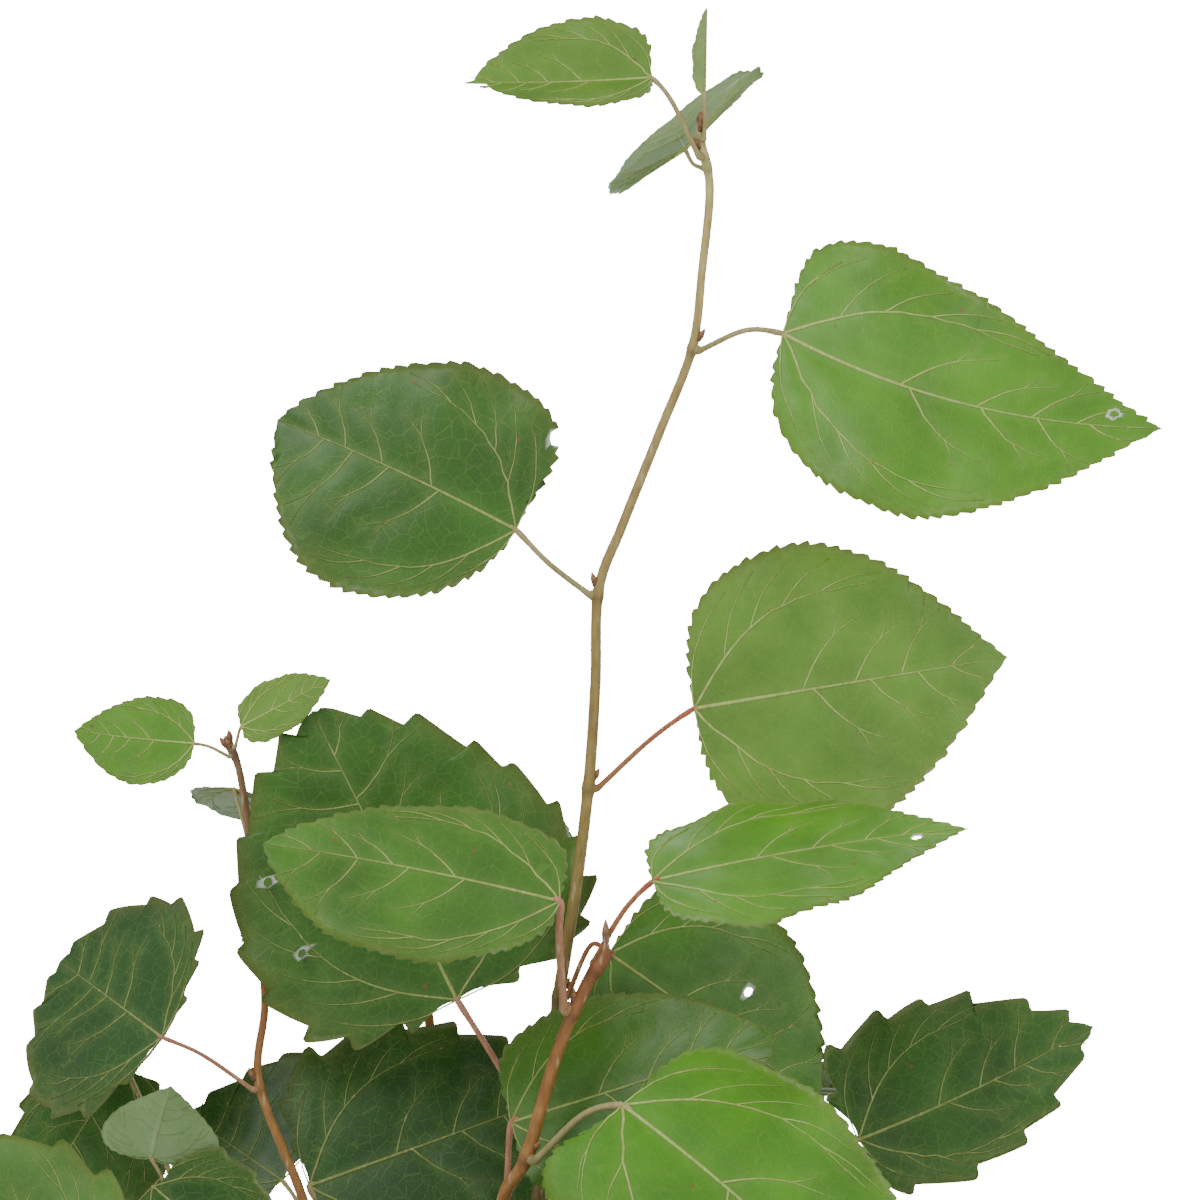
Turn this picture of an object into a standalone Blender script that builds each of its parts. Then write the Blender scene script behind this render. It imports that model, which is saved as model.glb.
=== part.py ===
"""A young Swedish columnar aspen: one rooted plant with a trunk that runs up into its leader,
a clump of upright boughs from its foot, and broad toothed leaves on long thin stalks.

Every limb is one tapering solid. Every leaf is one solid too: its stalk is joined to its blade,
and the stalk's foot stands just clear of the limb that carries it. +Z is up, the plant's front is -Y,
and the origin is the middle of the flat cut at ground level.
"""
import math
import random

import bmesh
import bpy
from mathutils import Vector

MM = 0.001

# The plant
SEAT_GAP = 0.3 * MM         # clear space between a stalk or bough and the limb that carries it
LIMB_STEPS = 3              # rings between two joints of a limb
TRUNK_SIDES = 8
BOUGH_SIDES = 6
FLARE_HEIGHT = 9 * MM       # the root flare dies out this far above the ground
FLARE_SPREAD = 0.9          # the flare's extra radius, as a share of the trunk's radius there
FLARE_LOBES = 3
FLARE_LOBE_DEPTH = 0.14

# A leaf
BLADE_THICKNESS = 1 / 80    # of the blade's length
LEAST_THICKNESS = 0.38 * MM
STALK_SIDES = 5
STALK_STEPS = 2
STALK_RISE = math.radians(42)   # the stalk leaves its limb this steeply
STALK_LIFT = 0.06               # and bows that way by this share of its length
STALK_SUNK = 0.10               # the stalk runs this share of the blade's length into the blade
ACROSS = (-1.0, -0.5, 0.0, 0.5, 1.0)

# Outlines. widest: where along the blade its left and right halves are broadest. lobes: how far the
# left and right base lobes reach back. base_round, tip_round: 1 is round, 2 is a straight wedge.
# teeth, depth: coarse teeth a side, and their depth as a share of the length. rows: sections of it.
OUTLINES = {
    "ovate": dict(widest=(0.37, 0.37), lobes=(0.05, 0.05), base_round=1.0, tip_round=2.1,
                  teeth=0, depth=0.0, rows=8),
    "round": dict(widest=(0.44, 0.44), lobes=(0.06, 0.06), base_round=0.95, tip_round=1.5,
                  teeth=0, depth=0.0, rows=8),
    "coarse": dict(widest=(0.40, 0.40), lobes=(0.08, 0.08), base_round=0.85, tip_round=1.55,
                   teeth=5, depth=0.05, rows=10),
    "lance": dict(widest=(0.40, 0.40), lobes=(0.0, 0.0), base_round=1.1, tip_round=1.8,
                  teeth=0, depth=0.0, rows=7),
}

# Limbs: the joints they pass through, in millimetres, and the radius at each joint.
TRUNK = dict(
    name="trunk",
    joints=[(0, 0, 0), (0.5, 0, 14), (2, -0.5, 32), (6, -1, 58), (10.6, -1, 91), (12.5, 0, 110),
            (14.2, 0, 127), (17.5, 1, 148), (19.8, 1, 167), (21, 0, 185), (21.6, -1, 202), (26, 0, 214),
            (32.8, 1, 231), (38.6, 1, 246), (40.4, 0, 260), (41.8, 0, 275), (40.2, 0, 284), (40.1, 0, 288)],
    radii=[2.6, 2.4, 2.15, 1.75, 1.35, 1.2, 1.15, 1.08, 1.05, 0.98, 0.95, 0.9, 0.86, 0.84, 0.78, 0.82, 0.7, 0.3],
)
BOUGHS = [
    dict(name="bough_front", from_height=44, rise=0.9,
         joints=[(3.5, -14, 68), (4.2, -23, 91), (8.6, -26, 100), (14.2, -28, 119), (19.4, -29, 131),
                 (22.6, -30, 136), (22.9, -30, 139.5)],
         radii=[1.3, 1.25, 1.25, 1.2, 1.15, 1.15, 1.15, 0.3]),
    dict(name="bough_left", from_height=30, rise=0.8,
         joints=[(-12, 4, 46), (-24, 6, 66), (-32.8, 7, 92), (-40.4, 8, 112), (-39.4, 9, 127),
                 (-41, 9, 148), (-43.8, 8, 168), (-46, 8, 174)],
         radii=[1.25, 1.15, 1.0, 0.9, 0.78, 0.72, 0.7, 0.68, 0.55]),
    dict(name="bough_low_left", from_height=20, rise=0.6,
         joints=[(-14, -6, 32), (-32, -9, 50), (-47, -8, 72), (-57, -6, 94)],
         radii=[1.15, 1.05, 0.95, 0.85, 0.5]),
    dict(name="bough_right", from_height=37, rise=0.6,
         joints=[(22, 5, 54), (38, 8, 72), (50, 8, 88), (58, 8, 99)],
         radii=[1.15, 1.05, 0.95, 0.85, 0.5]),
    dict(name="bough_rear", from_height=25, rise=0.9,
         joints=[(-1, 17, 44), (-5, 30, 74), (-8, 36, 108), (-12, 38, 140), (-14, 37, 158)],
         radii=[1.25, 1.15, 1.05, 0.95, 0.85, 0.5]),
    dict(name="bough_rear_right", from_height=50, rise=0.8,
         joints=[(22, 13, 70), (33, 22, 92), (38, 26, 116), (40, 26, 134)],
         radii=[1.05, 0.98, 0.9, 0.8, 0.5]),
]

# Leaves that show one by one, in millimetres. node: the height on the limb where the stalk starts.
# arch: how far the stalk bows up. faces: where the blade's upper side looks. width: left and right
# halves, seen from above with the tip ahead. sway and bow: the midrib's bend to the left and upward,
# as a share of the length. fold and curl: degrees that the halves rise at the midrib, and fall
# again towards the edge. twist: degrees that the tip is turned. stalk: the stalk's radius.
LEAVES = [
    dict(limb="trunk", shape="lance", node=284, base=(40.7, -3, 292), tip=(41.2, -1, 308), arch=0,
         faces=(-0.9, 0.3, 0.1), width=(2.6, 2.8), fold=36, stalk=0.4),
    dict(limb="trunk", shape="ovate", node=279, base=(37.4, 4, 282.3), tip=(35, 37, 289), arch=-1,
         faces=(0.6, 0.3, -0.7), width=(19.5, 16.5), tip_round=1.4, fold=-8, curl=-14, stalk=0.42),
    dict(limb="trunk", shape="ovate", node=281, base=(31.3, -4, 295), tip=(-3, -8, 294), arch=2.5,
         faces=(0, -0.8, 0.6), width=(8.5, 12.4), lobes=(0, 0.09), sway=0.015, fold=24, curl=10, stalk=0.5),
    dict(limb="trunk", shape="ovate", node=246, base=(55, -4, 248.6), tip=(123.8, -10, 231.3), arch=1.7,
         faces=(0.02, -0.95, 0.32), width=(24.2, 23.9), widest=(0.26, 0.37), lobes=(0.03, 0.05),
         base_round=1.12, tip_round=2.2, sway=-0.077, fold=8, curl=18, bow=0.03, stalk=0.55),
    dict(limb="trunk", shape="round", node=201, base=(6.6, -4, 212.9), tip=(-37, 4, 233), arch=-1,
         faces=(-0.1, -0.98, 0.15), width=(24.1, 24.2), widest=(0.54, 0.31), lobes=(0.01, 0.14),
         tip_round=1.6, sway=-0.01, fold=6, curl=16, bow=0.06, stalk=0.55),
    dict(limb="trunk", shape="ovate", node=166, base=(39, 5, 180.4), tip=(96.5, 13, 189.8), arch=1,
         faces=(0.05, -0.99, 0.03), width=(26.7, 26.4), widest=(0.4, 0.4), tip_round=2.25,
         fold=5, curl=14, bow=0.03, stalk=0.5),
    dict(limb="trunk", shape="round", node=128, base=(23.4, -4, 136), tip=(61.5, 8, 109), arch=5,
         faces=(0.1, -0.98, 0.2), width=(24, 21), widest=(0.4, 0.42), fold=4, curl=12, stalk=0.5),
    dict(limb="trunk", shape="coarse", node=104, base=(-4.2, 3.5, 127.3), tip=(-30.6, 2, 180), arch=1,
         faces=(0, -0.99, 0.1), width=(31.5, 32.5), widest=(0.4, 0.33), lobes=(0.06, 0.12),
         fold=4, curl=10, stalk=0.6),
    dict(limb="bough_front", shape="ovate", node=134, base=(31.3, -30, 149.6), tip=(88.3, -24, 159), arch=1,
         faces=(0, -0.5, 0.87), width=(20, 20.3), tip_round=2.4, fold=4, curl=12, bow=0.02, stalk=0.55),
    dict(limb="bough_front", shape="ovate", node=126, base=(14.6, -34, 146), tip=(-38.6, -36, 156.5), arch=2,
         faces=(0, -0.72, 0.69), width=(20.5, 15.5), widest=(0.52, 0.27), base_round=0.9, tip_round=1.6,
         fold=8, curl=10, bow=0.02, twist=-14, stalk=0.75),
    dict(limb="bough_front", shape="ovate", node=100, base=(25.8, -36, 109.6), tip=(78, -52, 62), arch=3,
         faces=(0.2, -0.86, 0.46), width=(26.5, 28), lobes=(0.06, 0.18), base_round=0.8, tip_round=1.7,
         fold=6, curl=16, bow=0.06, stalk=0.65),
    dict(limb="bough_front", shape="ovate", node=78, base=(5.8, -16, 105.7), tip=(54, -22, 121), arch=2,
         faces=(0, -0.92, 0.4), width=(18.5, 19), base_round=0.8, tip_round=1.7, fold=6, curl=10, stalk=0.6),
    dict(limb="bough_left", shape="ovate", node=173, base=(-43.6, 6, 177), tip=(-27.2, 2, 185.7), arch=0.5,
         faces=(0.1, -0.7, 0.7), width=(7.2, 6.7), widest=(0.38, 0.43), base_round=0.85, tip_round=1.9,
         fold=6, curl=10, stalk=0.32),
    dict(limb="bough_left", shape="ovate", node=172, base=(-52.2, 5, 174), tip=(-73.9, -1, 176.4), arch=0.5,
         faces=(-0.1, -0.95, 0.3), width=(8.8, 8.3), widest=(0.5, 0.33), base_round=1.1, tip_round=1.9,
         sway=0.01, fold=6, curl=10, stalk=0.32),
    dict(limb="bough_left", shape="round", node=155, base=(-45.1, 13, 165.6), tip=(-37, 34, 158), arch=0.5,
         faces=(0, -0.35, 0.9), width=(11.5, 12.5), lobes=(0.2, 0.2), fold=-6, stalk=0.36),
    dict(limb="bough_left", shape="coarse", node=111, base=(-57.9, 3, 120.5), tip=(-77.7, 31, 133.6), arch=1,
         faces=(-0.62, -0.62, 0.45), width=(23.6, 21.8), widest=(0.45, 0.48), base_round=1.0,
         fold=6, curl=12, stalk=0.42),
    dict(limb="bough_left", shape="coarse", node=84, base=(-36.5, 20, 93.7), tip=(-54.5, 30, 105.5), arch=1,
         faces=(-0.1, -0.95, 0.3), width=(6.5, 23.7), tip_round=2.0, fold=4, curl=10, stalk=0.45),
    dict(limb="bough_left", shape="coarse", node=76, base=(-31.3, 11.5, 93), tip=(19, 15, 111), arch=2,
         faces=(0, -0.97, 0.25), width=(24, 24), widest=(0.34, 0.42), fold=5, curl=12, stalk=0.6),
    dict(limb="bough_low_left", shape="coarse", node=64, base=(-70, -32, 70), tip=(-104, -42, 98), arch=2,
         faces=(-0.2, -0.85, 0.5), width=(24, 24), fold=5, curl=12, stalk=0.5),
    dict(limb="bough_low_left", shape="ovate", node=91, base=(-59.5, -10, 99), tip=(-56, -6, 112), arch=0.5,
         faces=(0.2, 0.93, 0.3), width=(12, 12), fold=24, stalk=0.36),
    dict(limb="bough_low_left", shape="coarse", node=86, base=(-59, -15, 94), tip=(-39, -18, 77), arch=1,
         faces=(0.1, -0.8, 0.6), width=(16, 17), fold=6, curl=12, stalk=0.45),
    dict(limb="bough_low_left", shape="coarse", node=80, base=(-66, 28, 115), tip=(-84, 30, 86), arch=2,
         faces=(0, -0.97, 0.2), width=(18, 12), fold=6, curl=10, stalk=0.5),
    dict(limb="bough_right", shape="coarse", node=96, base=(69, 6, 101.7), tip=(112, 9, 122.3), arch=1,
         faces=(0, -0.97, 0.25), width=(19.8, 14), widest=(0.34, 0.36), base_round=0.7, tip_round=1.75,
         sway=-0.02, fold=6, curl=12, stalk=0.5),
]

# Leaves that fill the crown where the photographed side hides it: they grow in a spiral up their limb.
# heights: lowest and highest node. turn: the first one's direction round the limb, in degrees,
# counted from +X towards +Y. sizes: the lowest and the highest blade's length, in millimetres.
# seeds: one for each leaf, which settles how it is turned, tilted and shaped; a leaf that would
# touch a limb or another leaf, or leave its space, is skipped with None.
SPIRAL_STEP = 137.5
SPRAYS = [
    dict(limb="trunk", heights=(26, 84), turn=200, sizes=(44, 52), seeds=(2, 2, None, 8)),
    dict(limb="bough_front", heights=(58, 74), turn=250, sizes=(46, 50), seeds=(4, 7)),
    dict(limb="bough_left", heights=(50, 64), turn=150, sizes=(42, 46), seeds=(1, 7)),
    dict(limb="bough_low_left", heights=(36, 50), turn=120, sizes=(42, 46), seeds=(1, 1)),
    dict(limb="bough_right", heights=(50, 92), turn=20, sizes=(48, 44), seeds=(1, None, None, 1)),
    dict(limb="bough_rear", heights=(44, 156), turn=60, sizes=(50, 30), seeds=(1, 7, None, 3, None, None, 7, 1)),
    dict(limb="bough_rear_right", heights=(68, 132), turn=70, sizes=(46, 32), seeds=(1, None, 17, 4, None)),
]
SPRAY_STALK = 0.42          # a stalk's length, as a share of its blade's length
SPRAY_WIDTH = 0.43          # half a blade's width, as a share of its length

BARK = dict(color=(0.23, 0.15, 0.06, 1), roughness=0.62)
BOUGH_BARK = dict(color=(0.40, 0.16, 0.05, 1), roughness=0.55)
LEAF_GREENS = {
    "ovate": (0.16, 0.33, 0.05, 1),
    "round": (0.08, 0.22, 0.03, 1),
    "coarse": (0.05, 0.15, 0.03, 1),
    "lance": (0.42, 0.55, 0.12, 1),
}
LEAF_ROUGHNESS = 0.5


def millimetres(values):
    return Vector(values) * MM


def smooth_path(joints, steps):
    """Points on a smooth curve through the joints, with a number of steps from joint to joint."""
    first = 2 * joints[0] - joints[1]
    last = 2 * joints[-1] - joints[-2]
    ends = [first, *joints, last]
    path = []
    for i in range(1, len(ends) - 2):
        before, here, there, after = ends[i - 1:i + 3]
        for step in range(steps):
            t = step / steps
            path.append(0.5 * (2 * here + (there - before) * t
                               + (2 * before - 5 * here + 4 * there - after) * t ** 2
                               + (3 * here - before - 3 * there + after) * t ** 3))
    return path + [joints[-1]]


def between(values, steps):
    """The same number of values as smooth_path gives points, read straight between the given ones."""
    found = []
    for here, there in zip(values, values[1:]):
        found += [here + (there - here) * step / steps for step in range(steps)]
    return found + [values[-1]]


def rings_along(path, radii, sides, lobes=None, level_first=False):
    """Rings of points round a path, turned with it and never about it."""
    rings = []
    across = Vector((1, 0, 0))
    for i, point in enumerate(path):
        along = (path[min(i + 1, len(path) - 1)] - path[max(i - 1, 0)]).normalized()
        if level_first and i == 0:
            along = Vector((0, 0, 1))
        across = (across - along * across.dot(along)).normalized()
        other = along.cross(across)
        ring = []
        for side in range(sides):
            angle = 2 * math.pi * side / sides
            radius = radii[i] * (1 + (lobes[i] * math.cos(FLARE_LOBES * angle) if lobes else 0))
            ring.append(point + (across * math.cos(angle) + other * math.sin(angle)) * radius)
        rings.append(ring)
    return rings


def closed_tube(name, rings):
    """A mesh from rings of points, with flat ends."""
    mesh = bmesh.new()
    loops = [[mesh.verts.new(point) for point in ring] for ring in rings]
    for lower, upper in zip(loops, loops[1:]):
        for side in range(len(lower)):
            ahead = (side + 1) % len(lower)
            mesh.faces.new((lower[side], lower[ahead], upper[ahead], upper[side]))
    mesh.faces.new(reversed(loops[0]))
    mesh.faces.new(loops[-1])
    return finished(name, mesh)


def finished(name, mesh):
    """Turns a bmesh into an object of the scene, with its faces pointing out."""
    bmesh.ops.recalc_face_normals(mesh, faces=mesh.faces[:])
    data = bpy.data.meshes.new(name)
    mesh.to_mesh(data)
    mesh.free()
    piece = bpy.data.objects.new(name, data)
    bpy.context.scene.collection.objects.link(piece)
    return piece


def finish(piece, color, roughness):
    """Gives a piece its own plain material and rounds its shading."""
    material = bpy.data.materials.new(piece.name + "_finish")
    material.use_nodes = True
    shader = material.node_tree.nodes["Principled BSDF"]
    shader.inputs["Base Color"].default_value = color
    shader.inputs["Roughness"].default_value = roughness
    shader.inputs["Metallic"].default_value = 0.0
    piece.data.materials.clear()
    piece.data.materials.append(material)
    piece.data.shade_smooth()
    piece.data.set_sharp_from_angle(angle=math.radians(50))


class Limb:
    """A limb's centre line and thickness, and where something seated on it starts."""

    def __init__(self, path, radii):
        self.path = path
        self.radii = radii

    def at(self, height):
        """The centre, radius and direction at a height above the ground."""
        for i in range(len(self.path) - 1):
            low, high = self.path[i], self.path[i + 1]
            if low.z <= height <= high.z:
                share = (height - low.z) / (high.z - low.z)
                radius = self.radii[i] + (self.radii[i + 1] - self.radii[i]) * share
                return low.lerp(high, share), radius, (high - low).normalized()
        return self.path[-1], self.radii[-1], (self.path[-1] - self.path[-2]).normalized()

    def seat(self, height, toward, rise, radius):
        """Where a stalk or bough of this radius starts, clear of the limb, and its first direction."""
        centre, limb_radius, along = self.at(height)
        out = toward - centre
        out = (out - along * out.dot(along)).normalized()
        start_direction = out * math.cos(rise) + along * math.sin(rise)
        reach = limb_radius + SEAT_GAP + radius * math.sin(rise)
        return centre + out * reach, start_direction


def make_trunk():
    joints = [millimetres(joint) for joint in TRUNK["joints"]]
    path = smooth_path(joints, LIMB_STEPS)
    radii = [radius * MM for radius in between(TRUNK["radii"], LIMB_STEPS)]
    spread = [max(0.0, 1 - point.z / FLARE_HEIGHT) ** 2 for point in path]
    wide = [radius * (1 + FLARE_SPREAD * share) for radius, share in zip(radii, spread)]
    lobes = [FLARE_LOBE_DEPTH * share for share in spread]
    rings = rings_along(path, wide, TRUNK_SIDES, lobes, level_first=True)
    piece = closed_tube(TRUNK["name"], rings)
    finish(piece, **BARK)
    return Limb(path, wide)


def make_bough(trunk, bough):
    radii = [radius * MM for radius in bough["radii"]]
    joints = [millimetres(joint) for joint in bough["joints"]]
    start, first = trunk.seat(bough["from_height"] * MM, joints[0], bough["rise"], radii[0])
    path = smooth_path([start, *joints], LIMB_STEPS)
    path[1] = start + first * (path[1] - start).length
    radii = between(radii, LIMB_STEPS)
    piece = closed_tube(bough["name"], rings_along(path, radii, BOUGH_SIDES))
    finish(piece, **BOUGH_BARK)
    return Limb(path, radii)


def margin(leaf, length, half, share):
    """A point of the blade's edge, from the base at share 0 to the tip at share 1, in the blade's plane.
    half is 0 for the left half and 1 for the right."""
    side = 1 - 2 * half
    angle = math.pi * share
    along = (1 - math.cos(angle)) / 2
    warp = math.log(leaf["widest"][half]) / math.log(0.5)
    across = math.sin(angle) ** (leaf["base_round"] if share < 0.5 else leaf["tip_round"])
    back = leaf["lobes"][half] * across ** 2 * (1 - along) ** 3
    u = length * (along ** warp - back)
    v = side * leaf["width"][half] * across
    if leaf["teeth"]:
        wave = 0.5 - 0.5 * math.cos(2 * math.pi * leaf["teeth"] * share)
        grow = leaf["depth"] * length * (wave - 0.5) * min(1.0, 4 * share, 4 * (1 - share))
        u -= grow * math.cos(angle) * 0.6
        v += side * grow * math.sin(angle)
    return u, v


class Blade:
    """The curved surface of a leaf: places points of the flat outline in space."""

    def __init__(self, leaf):
        self.leaf = leaf
        self.base = leaf["base"]
        self.length = (leaf["tip"] - leaf["base"]).length
        self.ahead = (leaf["tip"] - leaf["base"]).normalized()
        faces = leaf["faces"]
        self.up = (faces - self.ahead * faces.dot(self.ahead)).normalized()
        self.left = self.up.cross(self.ahead)

    def place(self, u, v):
        """The point for u along and v to the left, and the upper side's direction there."""
        leaf = self.leaf
        t = u / self.length
        turn = math.radians(leaf["twist"]) * t
        left = self.left * math.cos(turn) + self.up * math.sin(turn)
        up = self.up * math.cos(turn) - self.left * math.sin(turn)
        hump = 4 * t * (1 - t) * self.length
        middle = self.base + self.ahead * u + self.up * leaf["bow"] * hump + self.left * leaf["sway"] * hump
        side = (v > 0) - (v < 0)
        fold = math.radians(leaf["fold"])
        bend = (math.radians(leaf["curl"]) or 1e-4) / max(leaf["width"])
        reach = abs(v)
        outward = (math.sin(fold) - math.sin(fold - bend * reach)) / bend
        rise = (math.cos(fold - bend * reach) - math.cos(fold)) / bend
        lean = fold - bend * reach
        normal = (up * math.cos(lean) - left * side * math.sin(lean)).normalized()
        return middle + left * side * outward + up * rise, normal


def make_blade(name, leaf, blade):
    """The blade as a thin closed solid: rows of points across it, above and below."""
    rows = leaf["rows"]
    half = max(LEAST_THICKNESS, BLADE_THICKNESS * blade.length) / 2
    mesh = bmesh.new()

    def pair(u, v):
        point, normal = blade.place(u, v)
        return mesh.verts.new(point + normal * half), mesh.verts.new(point - normal * half)

    base, tip = pair(0, 0), pair(blade.length, 0)
    grid = []
    for row in range(1, rows):
        share = row / rows
        middle = blade.length * share ** 1.35
        cells = []
        for across in ACROSS:
            u, v = margin(leaf, blade.length, 0 if across > 0 else 1, share)
            cells.append(pair(middle + (u - middle) * abs(across), v * abs(across)))
        grid.append(cells)

    for level in (0, 1):
        for here, there in zip(grid, grid[1:]):
            for cell in range(len(ACROSS) - 1):
                mesh.faces.new((here[cell][level], here[cell + 1][level],
                                there[cell + 1][level], there[cell][level]))
        for cell in range(len(ACROSS) - 1):
            mesh.faces.new((base[level], grid[0][cell][level], grid[0][cell + 1][level]))
            mesh.faces.new((tip[level], grid[-1][cell + 1][level], grid[-1][cell][level]))
    for edge in (0, -1):
        chain = [base, *(cells[edge] for cells in grid), tip]
        for here, there in zip(chain, chain[1:]):
            mesh.faces.new((here[0], there[0], there[1], here[1]))
    return finished(name, mesh)


def make_stalk(name, leaf, blade, limb):
    """The stalk, from its seat on the limb into the blade along the midrib."""
    radius = leaf["stalk"]
    arch = Vector((0, 0, leaf["arch"]))
    middle = (limb.at(leaf["node"])[0] + leaf["base"]) / 2 + arch
    start, first = limb.seat(leaf["node"], middle, STALK_RISE, radius)
    reach = (leaf["base"] - start).length
    sunk = blade.place(STALK_SUNK * blade.length, 0)[0]
    middle = (start + leaf["base"]) / 2 + arch + first * STALK_LIFT * reach
    joints = [start, middle, leaf["base"], sunk]
    path = smooth_path(joints, STALK_STEPS)
    radii = [radius * (1.0 - 0.25 * i / (len(path) - 1)) for i in range(len(path))]
    return closed_tube(name, rings_along(path, radii, STALK_SIDES))


def make_leaf(name, leaf, limb):
    """A leaf: its stalk and its blade, joined into one solid."""
    blade = Blade(leaf)
    piece = make_blade(name, leaf, blade)
    parts = bpy.data.collections.new(name + "_parts")
    stalk = make_stalk(name + "_stalk", leaf, blade, limb)
    parts.objects.link(stalk)
    union = piece.modifiers.new("join", "BOOLEAN")
    union.operation = "UNION"
    union.operand_type = "COLLECTION"
    union.collection = parts
    union.solver = "EXACT"
    bpy.context.view_layer.update()
    joined = bpy.data.meshes.new_from_object(piece.evaluated_get(bpy.context.evaluated_depsgraph_get()))
    piece.modifiers.clear()
    piece.data = joined
    bpy.data.objects.remove(stalk)
    bpy.data.collections.remove(parts)
    finish(piece, LEAF_GREENS[leaf["shape"]], LEAF_ROUGHNESS)
    return piece


def shown_leaf(row):
    """A leaf of the LEAVES table, in metres, with its outline and its unstated bends at nought."""
    leaf = dict(OUTLINES[row["shape"]], sway=0.0, bow=0.0, fold=0.0, curl=0.0, twist=0.0)
    leaf.update(row)
    for key in ("base", "tip"):
        leaf[key] = millimetres(row[key])
    for key in ("node", "arch", "stalk"):
        leaf[key] = row[key] * MM
    leaf["faces"] = Vector(row["faces"])
    leaf["width"] = [half * MM for half in row["width"]]
    return leaf


def spray_leaf(spray, limb, number):
    """One leaf of a spiral: it stands out from its limb, tilts down at its tip and faces the sky."""
    chance = random.Random(spray["seeds"][number])
    share = number / (len(spray["seeds"]) - 1)
    node = (spray["heights"][0] + (spray["heights"][1] - spray["heights"][0]) * share) * MM
    length = (spray["sizes"][0] + (spray["sizes"][1] - spray["sizes"][0]) * share) * MM
    length *= chance.uniform(0.9, 1.1)
    turn = math.radians(spray["turn"] + SPIRAL_STEP * number + chance.uniform(-30, 30))
    out = Vector((math.cos(turn), math.sin(turn), 0))
    rise = Vector((0, 0, chance.uniform(0.05, 0.3)))
    base = limb.at(node)[0] + (out * chance.uniform(0.8, 1.25) * SPRAY_STALK + rise) * length
    pitch = math.radians(chance.uniform(-46, 4))
    ahead = out * math.cos(pitch) + Vector((0, 0, math.sin(pitch)))
    aside = Vector((-out.y, out.x, 0)) * chance.uniform(-0.7, 0.7)
    shape = chance.choice(("ovate", "coarse", "round"))
    width = length * SPRAY_WIDTH * chance.uniform(0.92, 1.08)
    return dict(OUTLINES[shape], shape=shape, node=node, base=base, tip=base + ahead * length,
                arch=length * 0.03, faces=Vector((0, 0, 1)) + out * 0.5 + aside, width=(width, width),
                sway=chance.uniform(-0.03, 0.03), bow=chance.uniform(0.03, 0.09), fold=chance.uniform(3, 12),
                curl=chance.uniform(8, 22), twist=chance.uniform(-16, 16), stalk=0.5 * MM)


def build():
    for thing in list(bpy.data.objects):
        bpy.data.objects.remove(thing)
    limbs = {"trunk": make_trunk()}
    for bough in BOUGHS:
        limbs[bough["name"]] = make_bough(limbs["trunk"], bough)
    counts = dict.fromkeys(limbs, 0)

    def next_name(limb):
        counts[limb] += 1
        return f"{limb}_leaf_{counts[limb]:02d}"

    for row in LEAVES:
        make_leaf(next_name(row["limb"]), shown_leaf(row), limbs[row["limb"]])
    for spray in SPRAYS:
        limb = limbs[spray["limb"]]
        for number, seed in enumerate(spray["seeds"]):
            if seed is None:
                continue
            make_leaf(next_name(spray["limb"]), spray_leaf(spray, limb, number), limb)


build()
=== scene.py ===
"""A young columnar aspen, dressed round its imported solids: bark with buds and nodes on the limbs,
and thin toothed leaves with raised veins in place of the plain blades. Metres, +Z up, front -Y."""
import json
import math
import random

import bpy
import numpy as np
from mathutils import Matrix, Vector, noise


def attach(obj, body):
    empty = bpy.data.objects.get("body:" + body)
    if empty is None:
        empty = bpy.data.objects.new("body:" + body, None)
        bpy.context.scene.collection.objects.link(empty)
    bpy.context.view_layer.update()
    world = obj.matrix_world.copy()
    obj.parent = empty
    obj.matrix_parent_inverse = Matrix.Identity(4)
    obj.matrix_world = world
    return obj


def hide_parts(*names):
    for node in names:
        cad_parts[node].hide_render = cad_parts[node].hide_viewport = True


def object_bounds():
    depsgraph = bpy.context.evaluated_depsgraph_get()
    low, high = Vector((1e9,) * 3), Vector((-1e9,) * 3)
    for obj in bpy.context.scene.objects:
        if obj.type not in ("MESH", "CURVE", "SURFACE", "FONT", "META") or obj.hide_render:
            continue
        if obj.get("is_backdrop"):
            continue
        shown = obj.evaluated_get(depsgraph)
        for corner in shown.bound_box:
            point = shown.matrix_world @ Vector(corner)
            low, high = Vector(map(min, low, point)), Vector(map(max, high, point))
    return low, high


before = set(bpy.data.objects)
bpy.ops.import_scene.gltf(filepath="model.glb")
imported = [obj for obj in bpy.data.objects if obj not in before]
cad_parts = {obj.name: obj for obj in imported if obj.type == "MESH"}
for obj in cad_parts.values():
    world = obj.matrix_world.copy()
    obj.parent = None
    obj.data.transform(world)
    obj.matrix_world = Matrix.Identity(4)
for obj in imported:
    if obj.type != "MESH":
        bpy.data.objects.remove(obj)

cad_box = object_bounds()
MM = 0.001


# Camera. It stands level with the middle of the photographed part of the crown, square to the front,
# and far enough off that near and distant leaves keep their sizes.
CAMERA_PLACE = (0.02184, -2.4, 0.2002)
VIEW_WIDTH = 0.2184         # what the frame takes in at the trunk
SENSOR = 36.0


def add_object(name, data):
    made = bpy.data.objects.new(name, data)
    bpy.context.scene.collection.objects.link(made)
    return made


camera_data = bpy.data.cameras.new("camera")
camera_data.sensor_width = SENSOR
camera_data.lens = SENSOR * -CAMERA_PLACE[1] / VIEW_WIDTH
camera_data.clip_end = 20
camera = add_object("camera", camera_data)
camera.location = CAMERA_PLACE
camera.rotation_euler = (math.pi / 2, 0, 0)
bpy.context.scene.camera = camera


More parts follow.
